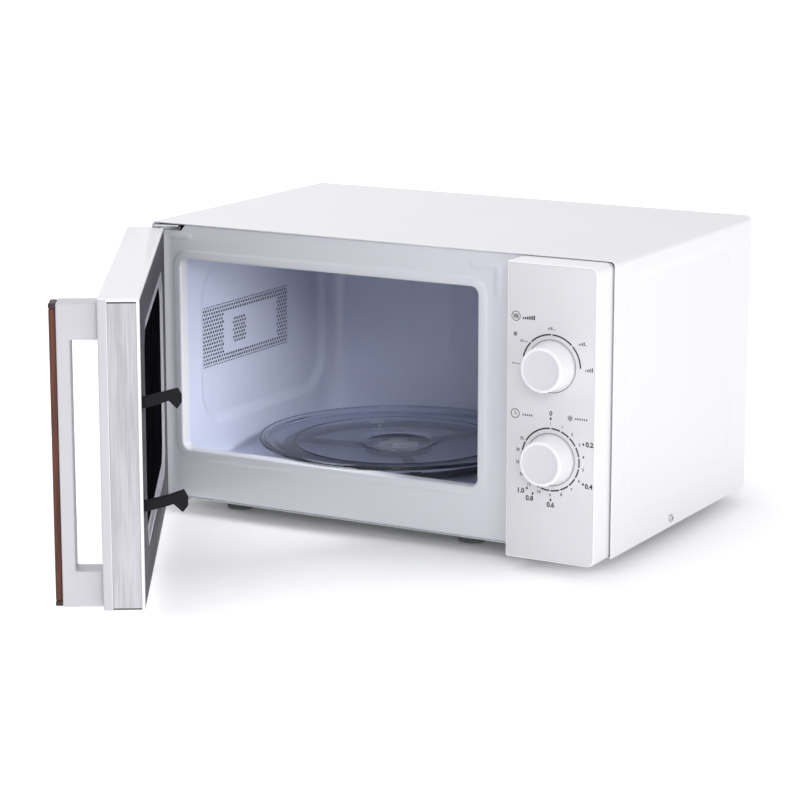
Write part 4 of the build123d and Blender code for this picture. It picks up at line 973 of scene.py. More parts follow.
def plan_path(inset):
    """The chamber wall's plan from the front of its left side round the back to its right side."""
    radius = BACK_CORNER - inset
    turns = [radians(90 * step / 10) for step in range(11)]
    left_bend, right_bend = chamber_left + BACK_CORNER, chamber_right - BACK_CORNER
    back_bend = chamber_back - BACK_CORNER
    edges = (DISH[0], DISH[1], vent_low.y, vent_high.y)
    side = lines(chamber_front, back_bend, 2.8 * MM, *edges)
    path = [(chamber_left + inset, y) for y in side]
    path += [
        (left_bend - radius * cos(turn), back_bend + radius * sin(turn)) for turn in turns[1:]
    ]
    flat = lines(left_bend, right_bend, 3.5 * MM)
    path += [(x, chamber_back - inset) for x in flat[1:-1]]
    path += [
        (right_bend + radius * sin(turn), back_bend + radius * cos(turn)) for turn in turns
    ]
    return path + [(chamber_right - inset, y) for y in reversed(side[:-1])]


def chamber_wall():
    """The pressed wall with its soft dish and ribs, and the bends into the floor and the roof."""
    bend = CHAMBER_BEND
    turns = [radians(90 * step / 5) for step in range(6)]
    rows = [(bend * (1 - sin(turn)), chamber_floor + bend * (1 - cos(turn))) for turn in turns]
    edges = (DISH[2], DISH[3], vent_low.z, vent_high.z)
    heights = lines(chamber_floor + bend, chamber_top - bend, 2.8 * MM, *edges)
    rows += [(0, z) for z in heights[1:-1]]
    rows += [(bend * (1 - cos(turn)), chamber_top - bend * (1 - sin(turn))) for turn in turns]
    points = []
    for inset, z in rows:
        row = []
        for x, y in plan_path(inset):
            if inset == 0 and x == chamber_left:
                x -= DISH_DEPTH * ease(inside_depth(y, z, DISH, DISH_RADIUS) / (7 * MM))
            if inset == 0 and y == chamber_back:
                for rib in BACK_RIBS:
                    width = max(0.0, 1 - abs(x - rib) / (4 * MM))
                    tall = ease((z - 100 * MM) / (8 * MM)) * ease((176 * MM - z) / (8 * MM))
                    y -= 1.1 * MM * ease(width) * tall
            row.append((x, y, z))
        points.append(row)
    corners, faces = skin(points, closed=False)
    window = (vent_low.y, vent_high.y, vent_low.z, vent_high.z)

    def kept(face):
        """Whether a face is outside the vent's window in the left wall."""
        x = sum(corners[index][0] for index in face) / 4
        y = sum(corners[index][1] for index in face) / 4
        z = sum(corners[index][2] for index in face) / 4
        in_window = window[0] < y < window[1] and window[2] < z < window[3]
        return not (x < chamber_left - 3 * MM and in_window)

    count = len(points[0])
    faces = [face for face in faces if kept(face)]
    faces.append(tuple(range(count)))
    faces.append(tuple(range(len(corners) - count, len(corners))))
    return corners, faces


wall = from_points("chamber_shell", *chamber_wall(), outward=False)
middle = Vector(((chamber_left + chamber_right) / 2, 0.1, (chamber_floor + chamber_top) / 2))
inward = sum(
    polygon.normal.dot(middle - polygon.center) * polygon.area for polygon in wall.data.polygons
)
if inward < 0:
    wall.data.flip_normals()
wall = walled(wall, 0.6 * MM, angle=40)
wall.data.materials.append(materials["chamber_enamel"])
place(wall, "oven", "chamber_enamel", "cavity_liner", "cavity_floor", "cavity_roof")


def tile(name, pitch, hole, thickness, corners, material):
    """One six-sided tile of a pierced sheet, round its hole, or plain with a hole of 0."""
    across = pitch / sqrt(3)
    rim = []
    for step in range(corners):
        turn = tau * step / corners + pi / 2
        side = cos((turn - pi / 2) % (pi / 3) - pi / 6)
        reach = across * cos(pi / 6) / side
        rim.append((reach * cos(turn), reach * sin(turn)))
    bottom, top = ([(x, y, z) for x, y in rim] for z in (0.0, thickness))
    if not hole:
        faces = [tuple(reversed(range(corners))), tuple(range(corners, 2 * corners))]
        return from_points(name, bottom + top, faces, material, outward=False)
    turns = [tau * step / corners + pi / 2 for step in range(corners)]
    bore_top, bore_bottom = (
        [(hole * cos(turn), hole * sin(turn), z) for turn in turns] for z in (thickness, 0.0)
    )
    return from_points(name, *skin([top, bore_top, bore_bottom, bottom]), material)


def pierced(name, pitch, hole, thickness, corners, area, blank, patch, centre, turn, material):
    """A pierced sheet as wide and tall as its area, with its blank field and the patch in it."""
    drilled = tile("drilled", pitch, hole, thickness, corners, material)
    plain = tile("plain", pitch, 0, thickness, corners, material)
    seed = bpy.data.meshes.new(name)
    seed.from_pydata([(0, 0, 0)], [], [])
    made = sheet_recipe.run(
        name, seed, Pierced=drilled, Plain=plain,
        Columns=int(area[0] / pitch), Rows=int(area[1] / (pitch * sqrt(3) / 2)), Pitch=pitch,
        Blank=blank, Patch=patch, Middle=centre, Turn=turn, Material=material,
    )
    bpy.data.objects.remove(drilled)
    bpy.data.objects.remove(plain)
    return made


vent_middle = (vent_low + vent_high) / 2
VENT_PITCH, VENT_HOLE, VENT_SHEET = 3.9 * MM, 1.4 * MM, 0.5 * MM
VENT_BLANK = (7 * MM, 45 * MM, 20 * MM)               # middle, half width and half height
VENT_PATCH = (-10.5 * MM, 10.5 * MM, 11 * MM)
vents = pierced(
    "chamber_air_holes", VENT_PITCH, VENT_HOLE, VENT_SHEET, 12,
    (vent_high.y - vent_low.y - 2 * MM, vent_high.z - vent_low.z - 1.5 * MM),
    VENT_BLANK, VENT_PATCH, (vent_low.x, vent_middle.y, vent_middle.z), (pi / 2, 0, pi / 2),
    materials["chamber_enamel"],
)
rim_rows = []
for out in (1.5 * MM, -2.4 * MM):
    window = (vent_low.y - out, vent_high.y + out, vent_low.z - out, vent_high.z + out)
    loop = outline(*window, 0.3 * MM, corners=2)
    rim_rows.append([(vent_high.x - 0.08 * MM, y, z) for y, z in loop])
rim_rows += [[(vent_low.x, y, z) for x, y, z in row] for row in reversed(rim_rows)]
rim = from_points("vent_rim", *skin(rim_rows + rim_rows[:1]), materials["chamber_enamel"])
vents = join("chamber_air_holes", vents, rim)
place(vents, "oven", "chamber_enamel", "cavity_vent_plate")

# ------------------------------------------------------------------ turntable

turn_x, turn_y = (tray_low.x + tray_high.x) / 2, (tray_low.y + tray_high.y) / 2
TRAY_RADIUS = (tray_high.x - tray_low.x) / 2
tray_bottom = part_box("roller_wheel_1")[1].z + 0.2 * MM


def tray_profile():
    """The tray's section: underside track, flared side, double rim, foot ring and flat dish."""
    edge = TRAY_RADIUS
    under = [(0.02 * MM, 0), (16 * MM, 0), (60 * MM, 0), (88 * MM, 0), (102.5 * MM, 0)]
    under += [(108 * MM, 0.9 * MM), (edge - 4 * MM, 3.4 * MM), (edge - 1.0 * MM, 5.6 * MM)]
    rim = arc((edge - 1.6 * MM, 7.0 * MM), 1.6 * MM, -25, 165, 8)
    inner = [(edge - 4.2 * MM, 6.6 * MM)] + arc((edge - 6.4 * MM, 5.9 * MM), 1.3 * MM, 15, 170, 6)
    inner += [(edge - 10 * MM, 4.9 * MM), (edge - 15 * MM, 4.3 * MM), (99 * MM, 4.0 * MM)]
    groove = arc((92 * MM, 4.9 * MM), 1.4 * MM, -30, -150, 6)
    flat = [(70 * MM, 4.0 * MM), (40 * MM, 4.0 * MM), (34 * MM, 4.0 * MM), (31 * MM, 4.5 * MM)]
    flat += [(28 * MM, 4.0 * MM), (0.02 * MM, 4.0 * MM)]
    profile = under + rim + inner + groove + flat
    return profile + profile[:1]


tray = lathe(
    "glass_turntable", tray_profile(), (turn_x, turn_y, tray_bottom), "Z",
    materials["tray_glass"], segments=192, angle=50,
)
LUG_RADIUS = 15.5 * MM
lugs = []
for turn in (60, 180, 300):
    share = radians(turn)
    reach = Vector((LUG_RADIUS * cos(share), LUG_RADIUS * sin(share), -4.5 * MM))
    lug = block(
        "lug", (-3 * MM, -3.5 * MM, 0), (3 * MM, 3.5 * MM, 4.4 * MM), materials["tray_glass"],
        width=0.8 * MM,
    )
    spot = Matrix.Translation(Vector((turn_x, turn_y, tray_bottom)) + reach)
    lug.data.transform(spot @ Matrix.Rotation(share, 4, "Z"))
    lugs.append(lug)
tray = join("glass_turntable", tray, *lugs)
soften(tray.data, 50)
place(tray, "turntable", "tray_glass", "glass_tray")

place(
    refined("turntable_coupler", "drive_coupler", materials["pale_plastic"], 0.5 * MM),
    "turntable", "pale_plastic", "turntable_coupler",
)
place(
    refined("roller_ring", "roller_spider", materials["dark_plastic"], 0.5 * MM),
    "roller_ring", "dark_plastic", "roller_ring",
)
for number in (1, 2, 3):
    node = f"roller_wheel_{number}"
    wheel = refined(node, f"tray_roller_{number}", materials["white_plastic"], 0.9 * MM, 3)
    place(wheel, f"wheel_{number}", "white_plastic", node)

# ------------------------------------------------------------------ feet, screws and gland

FOOT_RADIUS = 14 * MM
feet_parts = []
foot_left, foot_front = feet_low.x + FOOT_RADIUS, feet_low.y + FOOT_RADIUS
foot_right, foot_rear = feet_high.x - FOOT_RADIUS, feet_high.y - FOOT_RADIUS
FOOT_PLACES = (
    (foot_left, foot_front), (230 * MM, foot_front),
    (foot_left, foot_rear), (foot_right, foot_rear),
)
top = feet_high.z
for x, y in FOOT_PLACES:
    profile = [(0.02 * MM, 5 * MM), (4.2 * MM, 5 * MM), (4.6 * MM, 0.5 * MM), (5.1 * MM, 0)]
    profile += [(11.0 * MM, 0), (11.8 * MM, 0.3 * MM), (12.1 * MM, 1.0 * MM)]
    for rise in (2.6, 5.0, 7.4):
        radius = 12 * MM + 2 * MM * rise * MM / top
        profile += [
            (radius, rise * MM), (radius - 0.7 * MM, (rise + 0.25) * MM),
            (radius - 0.7 * MM, (rise + 0.95) * MM), (radius + 0.1 * MM, (rise + 1.2) * MM),
        ]
    profile += [(13.7 * MM, top - 0.8 * MM), (13.5 * MM, top), (0.02 * MM, top)]
    feet_parts.append(
        lathe("foot", profile + profile[:1], (x, y, 0), "Z", materials["foot_rubber"], segments=64)
    )
place(join("rubber_feet", *feet_parts), "oven", "foot_rubber", "feet")


def screw_shape():
    """A pan head with a cross recess. Its head looks up its own Z axis."""
    profile = [(0.02 * MM, 0), (3.5 * MM, 0), (3.5 * MM, 0.8 * MM), (3.2 * MM, 1.35 * MM)]
    profile += [(2.6 * MM, 1.7 * MM), (1.6 * MM, 1.95 * MM), (0.02 * MM, 2.0 * MM)]
    head = lathe("head", profile, (0, 0, 0), "Z", materials["screw_steel"], segments=40)
    arms = [
        block("arm", (-a, -b, 0.8 * MM), (a, b, 3 * MM), width=0)
        for a, b in ((1.9 * MM, 0.38 * MM), (0.38 * MM, 1.9 * MM))
    ]
    cut_out(head, *arms)
    return head


def screws(name, places, turn):
    """Screw heads at these places, turned to face away from the cabinet."""
    shape = screw_shape()
    seed = bpy.data.meshes.new(name)
    seed.from_pydata(places, [], [])
    made = copies.run(name, seed, Shape=shape, Turn=turn, Material=materials["screw_steel"])
    bpy.data.objects.remove(shape)
    return made


back_face = 239 * MM
rear_places = [
    (x, back_face, z) for z in (245 * MM, 26 * MM)
    for x in (left + 14 * MM, left + 220 * MM, right - 14 * MM)
]
place(
    screws("back_screws", rear_places, (-pi / 2, 0, 0)), "oven", "screw_steel", "cabinet_screws",
)
side_spot = (78.7 * MM, 20 * MM)
place(screws("right_side_screw", [(right, *side_spot)], (0, pi / 2, 0)), "oven", "screw_steel")
place(screws("left_side_screw", [(left, *side_spot)], (0, -pi / 2, 0)), "oven", "screw_steel")
place(
    refined("cord_gland", "lead_bushing", materials["dark_plastic"], 0.5 * MM),
    "oven", "dark_plastic", "cord_gland",
)

# ------------------------------------------------------------------ control panel

PANEL_CORNER = 6 * MM


def panel_outline(inset):
    """The panel's outline: square on the door's side, rounded on the outer side."""
    near, far = 1.2 * MM, PANEL_CORNER - inset
    return outline(
        housing_low.x + inset, housing_high.x - inset,
        housing_low.z + inset, housing_high.z - inset, (far, far, near, near), corners=8,
    )


face = housing_low.y
PANEL_STEPS = [(3, housing_high.y), (0, housing_high.y), (0, face + 1.2 * MM)]     # inset in mm, y
PANEL_STEPS += [
    (1 - cos(radians(turn)), face + 1.2 * MM * (1 - sin(radians(turn))))
    for turn in (22, 45, 68, 90)
]
PANEL_STEPS += [(1.35, face), (1.4, face + 0.08 * MM), (1.4, face + 0.6 * MM)]
housing = layered("panel_case", panel_outline, PANEL_STEPS, materials["white_plastic"])
place(housing, "oven", "white_plastic", "panel_housing")
OVERLAY_STEPS = ((1.6, face + 0.6 * MM), (1.6, face + 0.12 * MM), (1.72, face + 0.02 * MM))
overlay = layered("panel_overlay", panel_outline, OVERLAY_STEPS, materials["panel_overlay"])
place(overlay, "oven", "panel_overlay", "panel_plate")


def knob_profile():
    """A knob's section: flared foot, straight side, round rim and dished face."""
    foot, top, depth = 20.3 * MM, 18.2 * MM, 18.8 * MM
    side = [(foot - 2 * MM, 0), (foot - 0.3 * MM, 0)]
    side += [(foot, -0.4 * MM), (foot - 0.1 * MM, -1.6 * MM)]
    slope = atan2(foot - top, depth - 3 * MM)
    side += [(foot - 0.1 * MM - sin(slope) * run * MM, -run * MM) for run in (5, 9, 13)]
    rim = arc((top - 1.5 * MM, -depth + 1.5 * MM), 1.5 * MM, 0, -90, 8)
    rim += [(top - 2.4 * MM, -depth + 0.03 * MM), (top - 3.2 * MM, -depth + 0.35 * MM)]
    dish = [
        (share * (top - 3.2 * MM), -depth + (1.15 - 0.8 * share * share) * MM)
        for share in (0.85, 0.65, 0.45, 0.25, 0.001)
    ]
    return side + rim + dish


for dial in ("power", "timer"):
    low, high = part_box(f"{dial}_knob")
    knob_x, knob_z = (low.x + high.x) / 2, (low.z + high.z) / 2
    knob = lathe(
        f"{dial}_dial_knob", knob_profile(), (knob_x, face - 0.3 * MM, knob_z), "Y",
        materials["white_plastic"], materials["knob_plastic"], segments=128, angle=40,
    )
    for polygon in knob.data.polygons:
        from_middle = hypot(polygon.center.x - knob_x, polygon.center.z - knob_z)
        if from_middle < 15.4 * MM and polygon.center.y < low.y + 3 * MM:
            polygon.material_index = 1
    place(knob, f"{dial}_dial", "knob_plastic", f"{dial}_knob")

# ---- printed marks, and painted shadow rings round the knobs

PRINT_FACE = face + 0.02 * MM
INK_RISE = 0.05 * MM
power_low, power_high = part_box("power_knob")
timer_low, timer_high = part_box("timer_knob")
dial_x = (power_low.x + power_high.x) / 2
power_z, timer_z = (power_low.z + power_high.z) / 2, (timer_low.z + timer_high.z) / 2


def around(centre_z, radius, clockwise):
    """A point on the panel's print at an angle clockwise from the top of a dial."""
    turn = radians(clockwise)
    return (dial_x + radius * sin(turn), PRINT_FACE, centre_z + radius * cos(turn))


def strokes(name, paths, width, taper=0.02):
    """Lines in ink along several paths of points, for the print and for the painted shadow rings round the knobs.
    """
    points, edges = [], []
    for path in paths:
        edges += [(len(points) + step, len(points) + step + 1) for step in range(len(path) - 1)]
        points += path
    seed = bpy.data.meshes.new(name)
    seed.from_pydata(points, edges, [])
    return ink_lines.run(name, seed, Width=width, Rise=INK_RISE, Taper=taper, Material=ink)


def dial_arcs(centre_z, radius, stops, gap=2.6):
    """Arcs between the stops of a dial, with a gap at each stop."""
    paths = []
    for start, end in zip(stops, stops[1:]):
        count = max(3, int((end - start) / 3))
        paths.append([
            around(centre_z, radius, start + gap / 2 + (end - start - gap) * step / count)
            for step in range(count + 1)
        ])
    return paths


def circle_path(x, z, radius, start=0, end=360, count=48):
    """Points along a circle on the print."""
    return [
        (x + radius * sin(radians(start + (end - start) * step / count)), PRINT_FACE,
         z + radius * cos(radians(start + (end - start) * step / count)))
        for step in range(count + 1)
    ]


def line_path(x0, z0, x1, z1):
    """A short straight stroke on the print."""
    return [(x0, PRINT_FACE, z0), ((x0 + x1) / 2, PRINT_FACE, (z0 + z1) / 2), (x1, PRINT_FACE, z1)]


def numeral(text, x, z, size, weight=0.0):
    """A printed number, centred at a point."""
    curve = bpy.data.curves.new("numeral", "FONT")
    curve.body = text
    curve.size = size
    curve.align_x = "CENTER"
    curve.align_y = "CENTER"
    curve.extrude = INK_RISE / 2
    curve.offset = weight
    curve.resolution_u = 3
    source = bpy.data.objects.new("numeral", curve)
    bpy.context.scene.collection.objects.link(source)
    graph = bpy.context.evaluated_depsgraph_get()
    mesh = bpy.data.meshes.new_from_object(source.evaluated_get(graph))
    bpy.data.objects.remove(source)
    mesh.transform(Matrix.Translation((x, PRINT_FACE, z)) @ Matrix.Rotation(pi / 2, 4, "X"))
    return new_piece("numeral", mesh, ink)


def diamond(x, z, size):
    """A small printed diamond."""
    points = [(x, z - size), (x + size * 0.72, z), (x, z + size), (x - size * 0.72, z)]
    return prism("diamond", points, PRINT_FACE - INK_RISE / 2, PRINT_FACE + INK_RISE / 2, ink)


def print_on(name, *parts):
    """Printed parts, and the painted shadow rings round the knobs, as one piece on the panel."""
    return place(join(name, *parts), "oven", "panel_overlay")


RING_RADIUS = 25.4 * MM
POWER_STOPS = (-78, -45, 0, 45, 90)
TIMER_STOPS = [20 * step for step in range(16)] + [360]
SCALE_WIDTH = 1.25 * MM
power_arcs = dial_arcs(power_z, RING_RADIUS, POWER_STOPS)
print_on("power_scale", strokes("arc", power_arcs, SCALE_WIDTH, 0.25))
timer_arcs = dial_arcs(timer_z, RING_RADIUS, TIMER_STOPS)
print_on("timer_scale", strokes("arc", timer_arcs, SCALE_WIDTH, 0.3))
# Thin dark rings just outside each knob's foot: painted shadow of the gap round the knob, drawn in ink.
knob_foot_shadow_rings = [circle_path(dial_x, z, 21.3 * MM, count=96) for z in (power_z, timer_z)]
print_on("dial_surrounds", strokes("arc", knob_foot_shadow_rings, 0.42 * MM, 0.001))

MINUTES = [str(minute) for minute in (*range(1, 11), *range(15, 36, 5))]
minute_marks = []
for step, text in enumerate(MINUTES, start=1):
    x, _, z = around(timer_z, 29.4 * MM, 20 * step)
    minute_marks.append(numeral(text, x, z, 3.5 * MM, 0.06 * MM))
minute_marks.append(numeral("0", dial_x, timer_z + 37.5 * MM, 5.2 * MM, 0.16 * MM))
minute_marks.append(diamond(dial_x, timer_z + 33.4 * MM, 1.5 * MM))
tick = line_path(dial_x, timer_z + 27.8 * MM, dial_x, timer_z + 31 * MM)
minute_marks.append(strokes("tick", [tick], 0.3 * MM))
print_on("timer_numerals", *minute_marks)

WEIGHTS = (      # text, its place and its diamond's place from the dial's middle, in mm
    ("0.2", (34.2, 15.6), (28.9, 15.6)), ("0.4", (34.0, -18.4), (29.0, -16.8)),
    ("0.6", (0.6, -37.2), (0.6, -33.0)), ("0.8", (-18.2, -33.9), (-15.4, -29.6)),
    ("1.0", (-26.2, -28.4), (-20.6, -25.8)),
)
weight_marks = []
for text, (x, z), (spot_x, spot_z) in WEIGHTS:
    weight_marks.append(numeral(text, dial_x + x * MM, timer_z + z * MM, 5.5 * MM, 0.2 * MM))
    weight_marks.append(diamond(dial_x + spot_x * MM, timer_z + spot_z * MM, 1.4 * MM))
print_on("defrost_weights", *weight_marks)


def level_bars(x, z, level):
    """A power level as a row of five bars, of which as many as the level are tall."""
    paths = []
    for bar in range(5):
        tall = (1.3 + 0.55 * bar) * MM if bar < level else 0.7 * MM
        bar_x = x + (bar - 2) * 1.45 * MM
        paths.append(line_path(bar_x, z - 1.2 * MM, bar_x, z - 1.2 * MM + tall))
    return strokes("bars", paths, 0.8 * MM, 0.001)


def snowflake(x, z, radius):
    """Six arms with small branches."""
    paths = []
    for arm in range(6):
        turn = radians(60 * arm)
        tip = (x + radius * sin(turn), z + radius * cos(turn))
        paths.append(line_path(x, z, *tip))
        for side in (-1, 1):
            bend = turn + side * radians(50)
            root = (x + 0.6 * radius * sin(turn), z + 0.6 * radius * cos(turn))
            paths.append(line_path(
                *root, root[0] + 0.34 * radius * sin(bend), root[1] + 0.34 * radius * cos(bend),
            ))
    return strokes("snowflake", paths, 0.42 * MM, 0.001)


def wave_sign(x, z):
    """Three waves in a ring."""
    paths = [circle_path(x, z, 3.7 * MM)]
    for row in (-1.2, 0, 1.2):
        paths.append([
            (x + (step / 12 - 0.5) * 4.6 * MM, PRINT_FACE,
             z + row * MM + 0.55 * MM * sin(tau * step / 6))
            for step in range(13)
        ])
    return strokes("waves", paths, 0.55 * MM, 0.001)


def clock_sign(x, z):
    """A clock face with two hands."""
    hands = [line_path(x, z, x, z + 2.2 * MM), line_path(x, z, x + 1.5 * MM, z - 0.6 * MM)]
    return strokes("clock", [circle_path(x, z, 3.6 * MM), *hands], 0.6 * MM, 0.001)


SIGN_PITCH = 1.9 * MM


def step_bars(x, z):
    """A heading of growing bars."""
    foot, paths = z - 1.6 * MM, []
    for bar in range(6):
        bar_x = x + bar * SIGN_PITCH
        paths.append(line_path(bar_x, foot, bar_x, foot + (1.5 + 0.4 * bar) * MM))
    return strokes("bars", paths, 1.3 * MM, 0.001)


def dotted(x, z, count):
    """A heading of dots."""
    starts = [x + dot * SIGN_PITCH for dot in range(count)]
    paths = [line_path(start, z, start + 1.0 * MM, z) for start in starts]
    return strokes("dots", paths, 1.5 * MM, 0.001)


print_on(
    "power_signs", wave_sign(302.4 * MM, 209 * MM), step_bars(309.0 * MM, 208.6 * MM),
    snowflake(302.0 * MM, 194.6 * MM, 1.9 * MM), level_bars(309.5 * MM, 190.0 * MM, 2),
    level_bars(303.0 * MM, 171.5 * MM, 1), level_bars(dial_x, power_z + 30.5 * MM, 3),
    level_bars(361.0 * MM, 191.5 * MM, 4), level_bars(367.0 * MM, 171.0 * MM, 5),
)
print_on(
    "timer_signs", clock_sign(302.4 * MM, 130 * MM), dotted(309.0 * MM, 129.6 * MM, 5),
    snowflake(351.0 * MM, 131.0 * MM, 2.4 * MM), dotted(355.5 * MM, 131.0 * MM, 6),
)

# ------------------------------------------------------------------ door

DOOR_CORNER = 2.5 * MM
DOOR_WALL = 2.4 * MM
WINDOW = (-22 * MM, 236 * MM, 48 * MM, 214 * MM)      # x0, x1, z0, z1
WINDOW_RADIUS = 8 * MM


def casing_outline(inset):
    """The door casing's outline."""
    return outline(
        skin_low.x + inset, skin_high.x - inset, skin_low.z + inset, skin_high.z - inset,
        max(DOOR_CORNER - inset, 0.3 * MM), corners=6,
    )


door_back = skin_high.y
casing_wall = DOOR_WALL / MM
CASING_STEPS = [                # inset in mm, y
    (casing_wall, skin_low.y + DOOR_WALL), (casing_wall, door_back - 0.3 * MM),
    (casing_wall - 0.3, door_back),
    (0.5, door_back), (0.15, door_back - 0.15 * MM), (0, door_back - 0.5 * MM),
    (0, trim_low.y - 0.7 * MM), (0, skin_low.y + 1.8 * MM),
]
CASING_STEPS += [
    (1.8 * (1 - cos(radians(turn))), skin_low.y + 1.8 * MM * (1 - sin(radians(turn))))
    for turn in (18, 36, 54, 72, 90)
]
casing = layered("door_casing", casing_outline, CASING_STEPS, materials["white_plastic"])
glazing = outline(*WINDOW, WINDOW_RADIUS, corners=10)
window = prism("window", glazing, skin_low.y - 2 * MM, skin_low.y + 6 * MM)
recess = block(
    "recess", (trim_low.x - 0.1 * MM, trim_low.y - 0.25 * MM, trim_low.z - 0.25 * MM),
    (skin_high.x + 2 * MM, trim_high.y + 0.25 * MM, trim_high.z + 0.25 * MM), width=0,
)
pivots = [
    lathe("pivot", [(0.02 * MM, low), (5.4 * MM, low), (5.4 * MM, high), (0.02 * MM, high)],
          (hinge_point.x, hinge_point.y, 0), "Z", segments=32)
    for low, high in (
        (skin_low.z - 1 * MM, skin_low.z + 9 * MM), (skin_high.z - 9 * MM, skin_high.z + 1 * MM),
    )
]
cut_out(casing, window, recess, *pivots)
casing = bevelled(casing, 0.35 * MM, 2, angle=40)
casing.data.materials.append(band_grey_and_handle_shade)
for polygon in casing.data.polygons:
    if polygon.center.y < trim_low.y - 0.7 * MM and abs(polygon.normal.z) < 0.5:
        polygon.material_index = 1
place(casing, "door", "white_plastic", "door_skin", on_door=True)

trim_face = trim_high + Vector((0.12 * MM, 0, 0))
trim = block("free_edge_trim", trim_low, trim_face, materials["trim_plastic"], width=0.3 * MM)
place(trim, "door", "trim_plastic", "door_side_trim", on_door=True)
# Thin black strips along the trim's top and bottom edges; the upper one is a painted shadow under the top lip of
# the trim's recess.
for name, z in (("trim_lower_line", trim_low.z), ("trim_upper_line", trim_high.z - 0.9 * MM)):
    line = block(
        name, (trim_high.x - 0.05 * MM, trim_low.y, z),
        (trim_high.x + 0.16 * MM, trim_high.y, z + 0.9 * MM), black_caps_and_trim_shadow, width=0.06 * MM,
    )
    place(line, "door", "dark_plastic", on_door=True)

pane = refined("door_glass", "door_window_pane", materials["door_pane"], 0.4 * MM, 3)
place(pane, "door", "door_pane", "door_glass")
window_middle = Vector((sum(WINDOW[:2]) / 2, skin_low.y + 5.6 * MM, sum(WINDOW[2:]) / 2))
screen = pierced(
    "door_pierced_screen", 4.2 * MM, 1.5 * MM, 0.4 * MM, 6,
    (WINDOW[1] - WINDOW[0] + 6 * MM, WINDOW[3] - WINDOW[2] + 6 * MM), (0, 0, 0), (0, 0, 0),
    window_middle, (pi / 2, 0, 0), materials["bare_steel"],
)
place(screen, "door", "bare_steel", on_door=True)


def film_line(grow, cut, y):
    """The inner window's outline with cut corners, grown by a distance, at a depth y."""
    x0, x1 = film_low.x - grow, film_high.x + grow
    z0, z1 = film_low.z - grow, film_high.z + grow
    corners = [
        (x1 - cut, z0), (x1, z0 + cut), (x1, z1 - cut), (x1 - cut, z1),
        (x0 + cut, z1), (x0, z1 - cut), (x0, z0 + cut), (x0 + cut, z0),
    ]
    soft, points = 3.0 * MM, []
    for step, (x, z) in enumerate(corners):
        for other, reach in ((corners[step - 1], soft), (corners[(step + 1) % 8], soft)):
            length = hypot(other[0] - x, other[1] - z)
            share = reach / length
            points.append((x + (other[0] - x) * share, z + (other[1] - z) * share))
        before, after = points[-2], points[-1]
        points[-1:] = [
            ((before[0] + 2 * x + after[0]) / 4, (before[1] + 2 * z + after[1]) / 4), after,
        ]
    return upright(points, y)


FILM_CUT = 13 * MM
BEZEL_STEPS = (                 # growth, extra cut and depth behind the inner face, in mm
    (13, 4, 0.7), (12.8, 4, 0.2), (12.3, 4, 0), (7.7, 2, 0), (7.2, 2, 0.3), (6.6, 2, 1.5),
    (6.0, 2, 1.7), (0.9, 0, 1.7), (0.3, 0, 2.1),
)
rows = [film_line(13 * MM, FILM_CUT + 4 * MM, bezel_low.y)]
rows += [
    film_line(grow * MM, FILM_CUT + cut * MM, bezel_high.y - depth * MM)
    for grow, cut, depth in BEZEL_STEPS
]
rows += [film_line(0.25 * MM, FILM_CUT, bezel_low.y)]
bezel = from_points("window_bezel", *skin(rows + rows[:1]), materials["bezel_paint"], angle=25)
place(bezel, "door", "bezel_paint", "door_inner_bezel", on_door=True)
FILM_STEPS = ((-0.1, film_low.y), (-0.1, film_high.y - 0.3 * MM), (-0.4, film_high.y))
rows = [film_line(grow * MM, FILM_CUT, y) for grow, y in FILM_STEPS]
film = from_points(
    "window_film", *skin(rows, cap_first=True, cap_last=True), materials["window_film"],
)
place(film, "door", "window_film", "door_inner_film", on_door=True)
place(
    refined("door_choke_cover", "choke_cover", materials["choke_plastic"], 0.6 * MM, 3),
    "door", "choke_plastic", "door_choke_cover",
)

# ------------------------------------------------------------------ handle

POST_HEIGHT = 28 * MM
grip_y = bar_low.y + 10.2 * MM
post_low, post_high = bar_low.z + POST_HEIGHT, bar_high.z - POST_HEIGHT
side = [
    (bar_low.y, bar_low.z), (bar_high.y, bar_low.z), (bar_high.y, post_low), (grip_y, post_low),
    (grip_y, post_high), (bar_high.y, post_high), (bar_high.y, bar_high.z),
    (bar_low.y, bar_high.z),
]
rows = [[(x, y, z) for y, z in side] for x in (bar_low.x, bar_high.x)]
# The handle bar is white plastic drawn in the grey moulding: painted shade.
bar = from_points("handle_bar", *skin(rows, cap_first=True, cap_last=True), band_grey_and_handle_shade)
bar = bevelled(bar, 1.5 * MM, 5)
place(bar, "door", "white_plastic", "door_handle", on_door=True)
CAP_HEIGHT = 3.2 * MM
strip = block(
    "handle_wood", (strip_low.x, strip_low.y, strip_low.z + CAP_HEIGHT),
    (strip_high.x, strip_high.y, strip_high.z - CAP_HEIGHT), materials["handle_wood"],
    width=1.5 * MM, segments=5,
)
place(strip, "door", "handle_wood", "handle_strip", on_door=True)
for name, z in (
    ("handle_lower_cap", strip_low.z - 0.6 * MM), ("handle_upper_cap", strip_high.z - CAP_HEIGHT),
):
    cap = block(
        name, (strip_low.x - 0.2 * MM, strip_low.y - 0.1 * MM, z),
        (strip_high.x + 0.2 * MM, strip_high.y + 0.2 * MM, z + CAP_HEIGHT + 0.6 * MM), black_caps_and_trim_shadow,
        width=0.9 * MM, segments=4,
    )
    place(cap, "door", "dark_plastic", on_door=True)

# ------------------------------------------------------------------ latch and other small parts

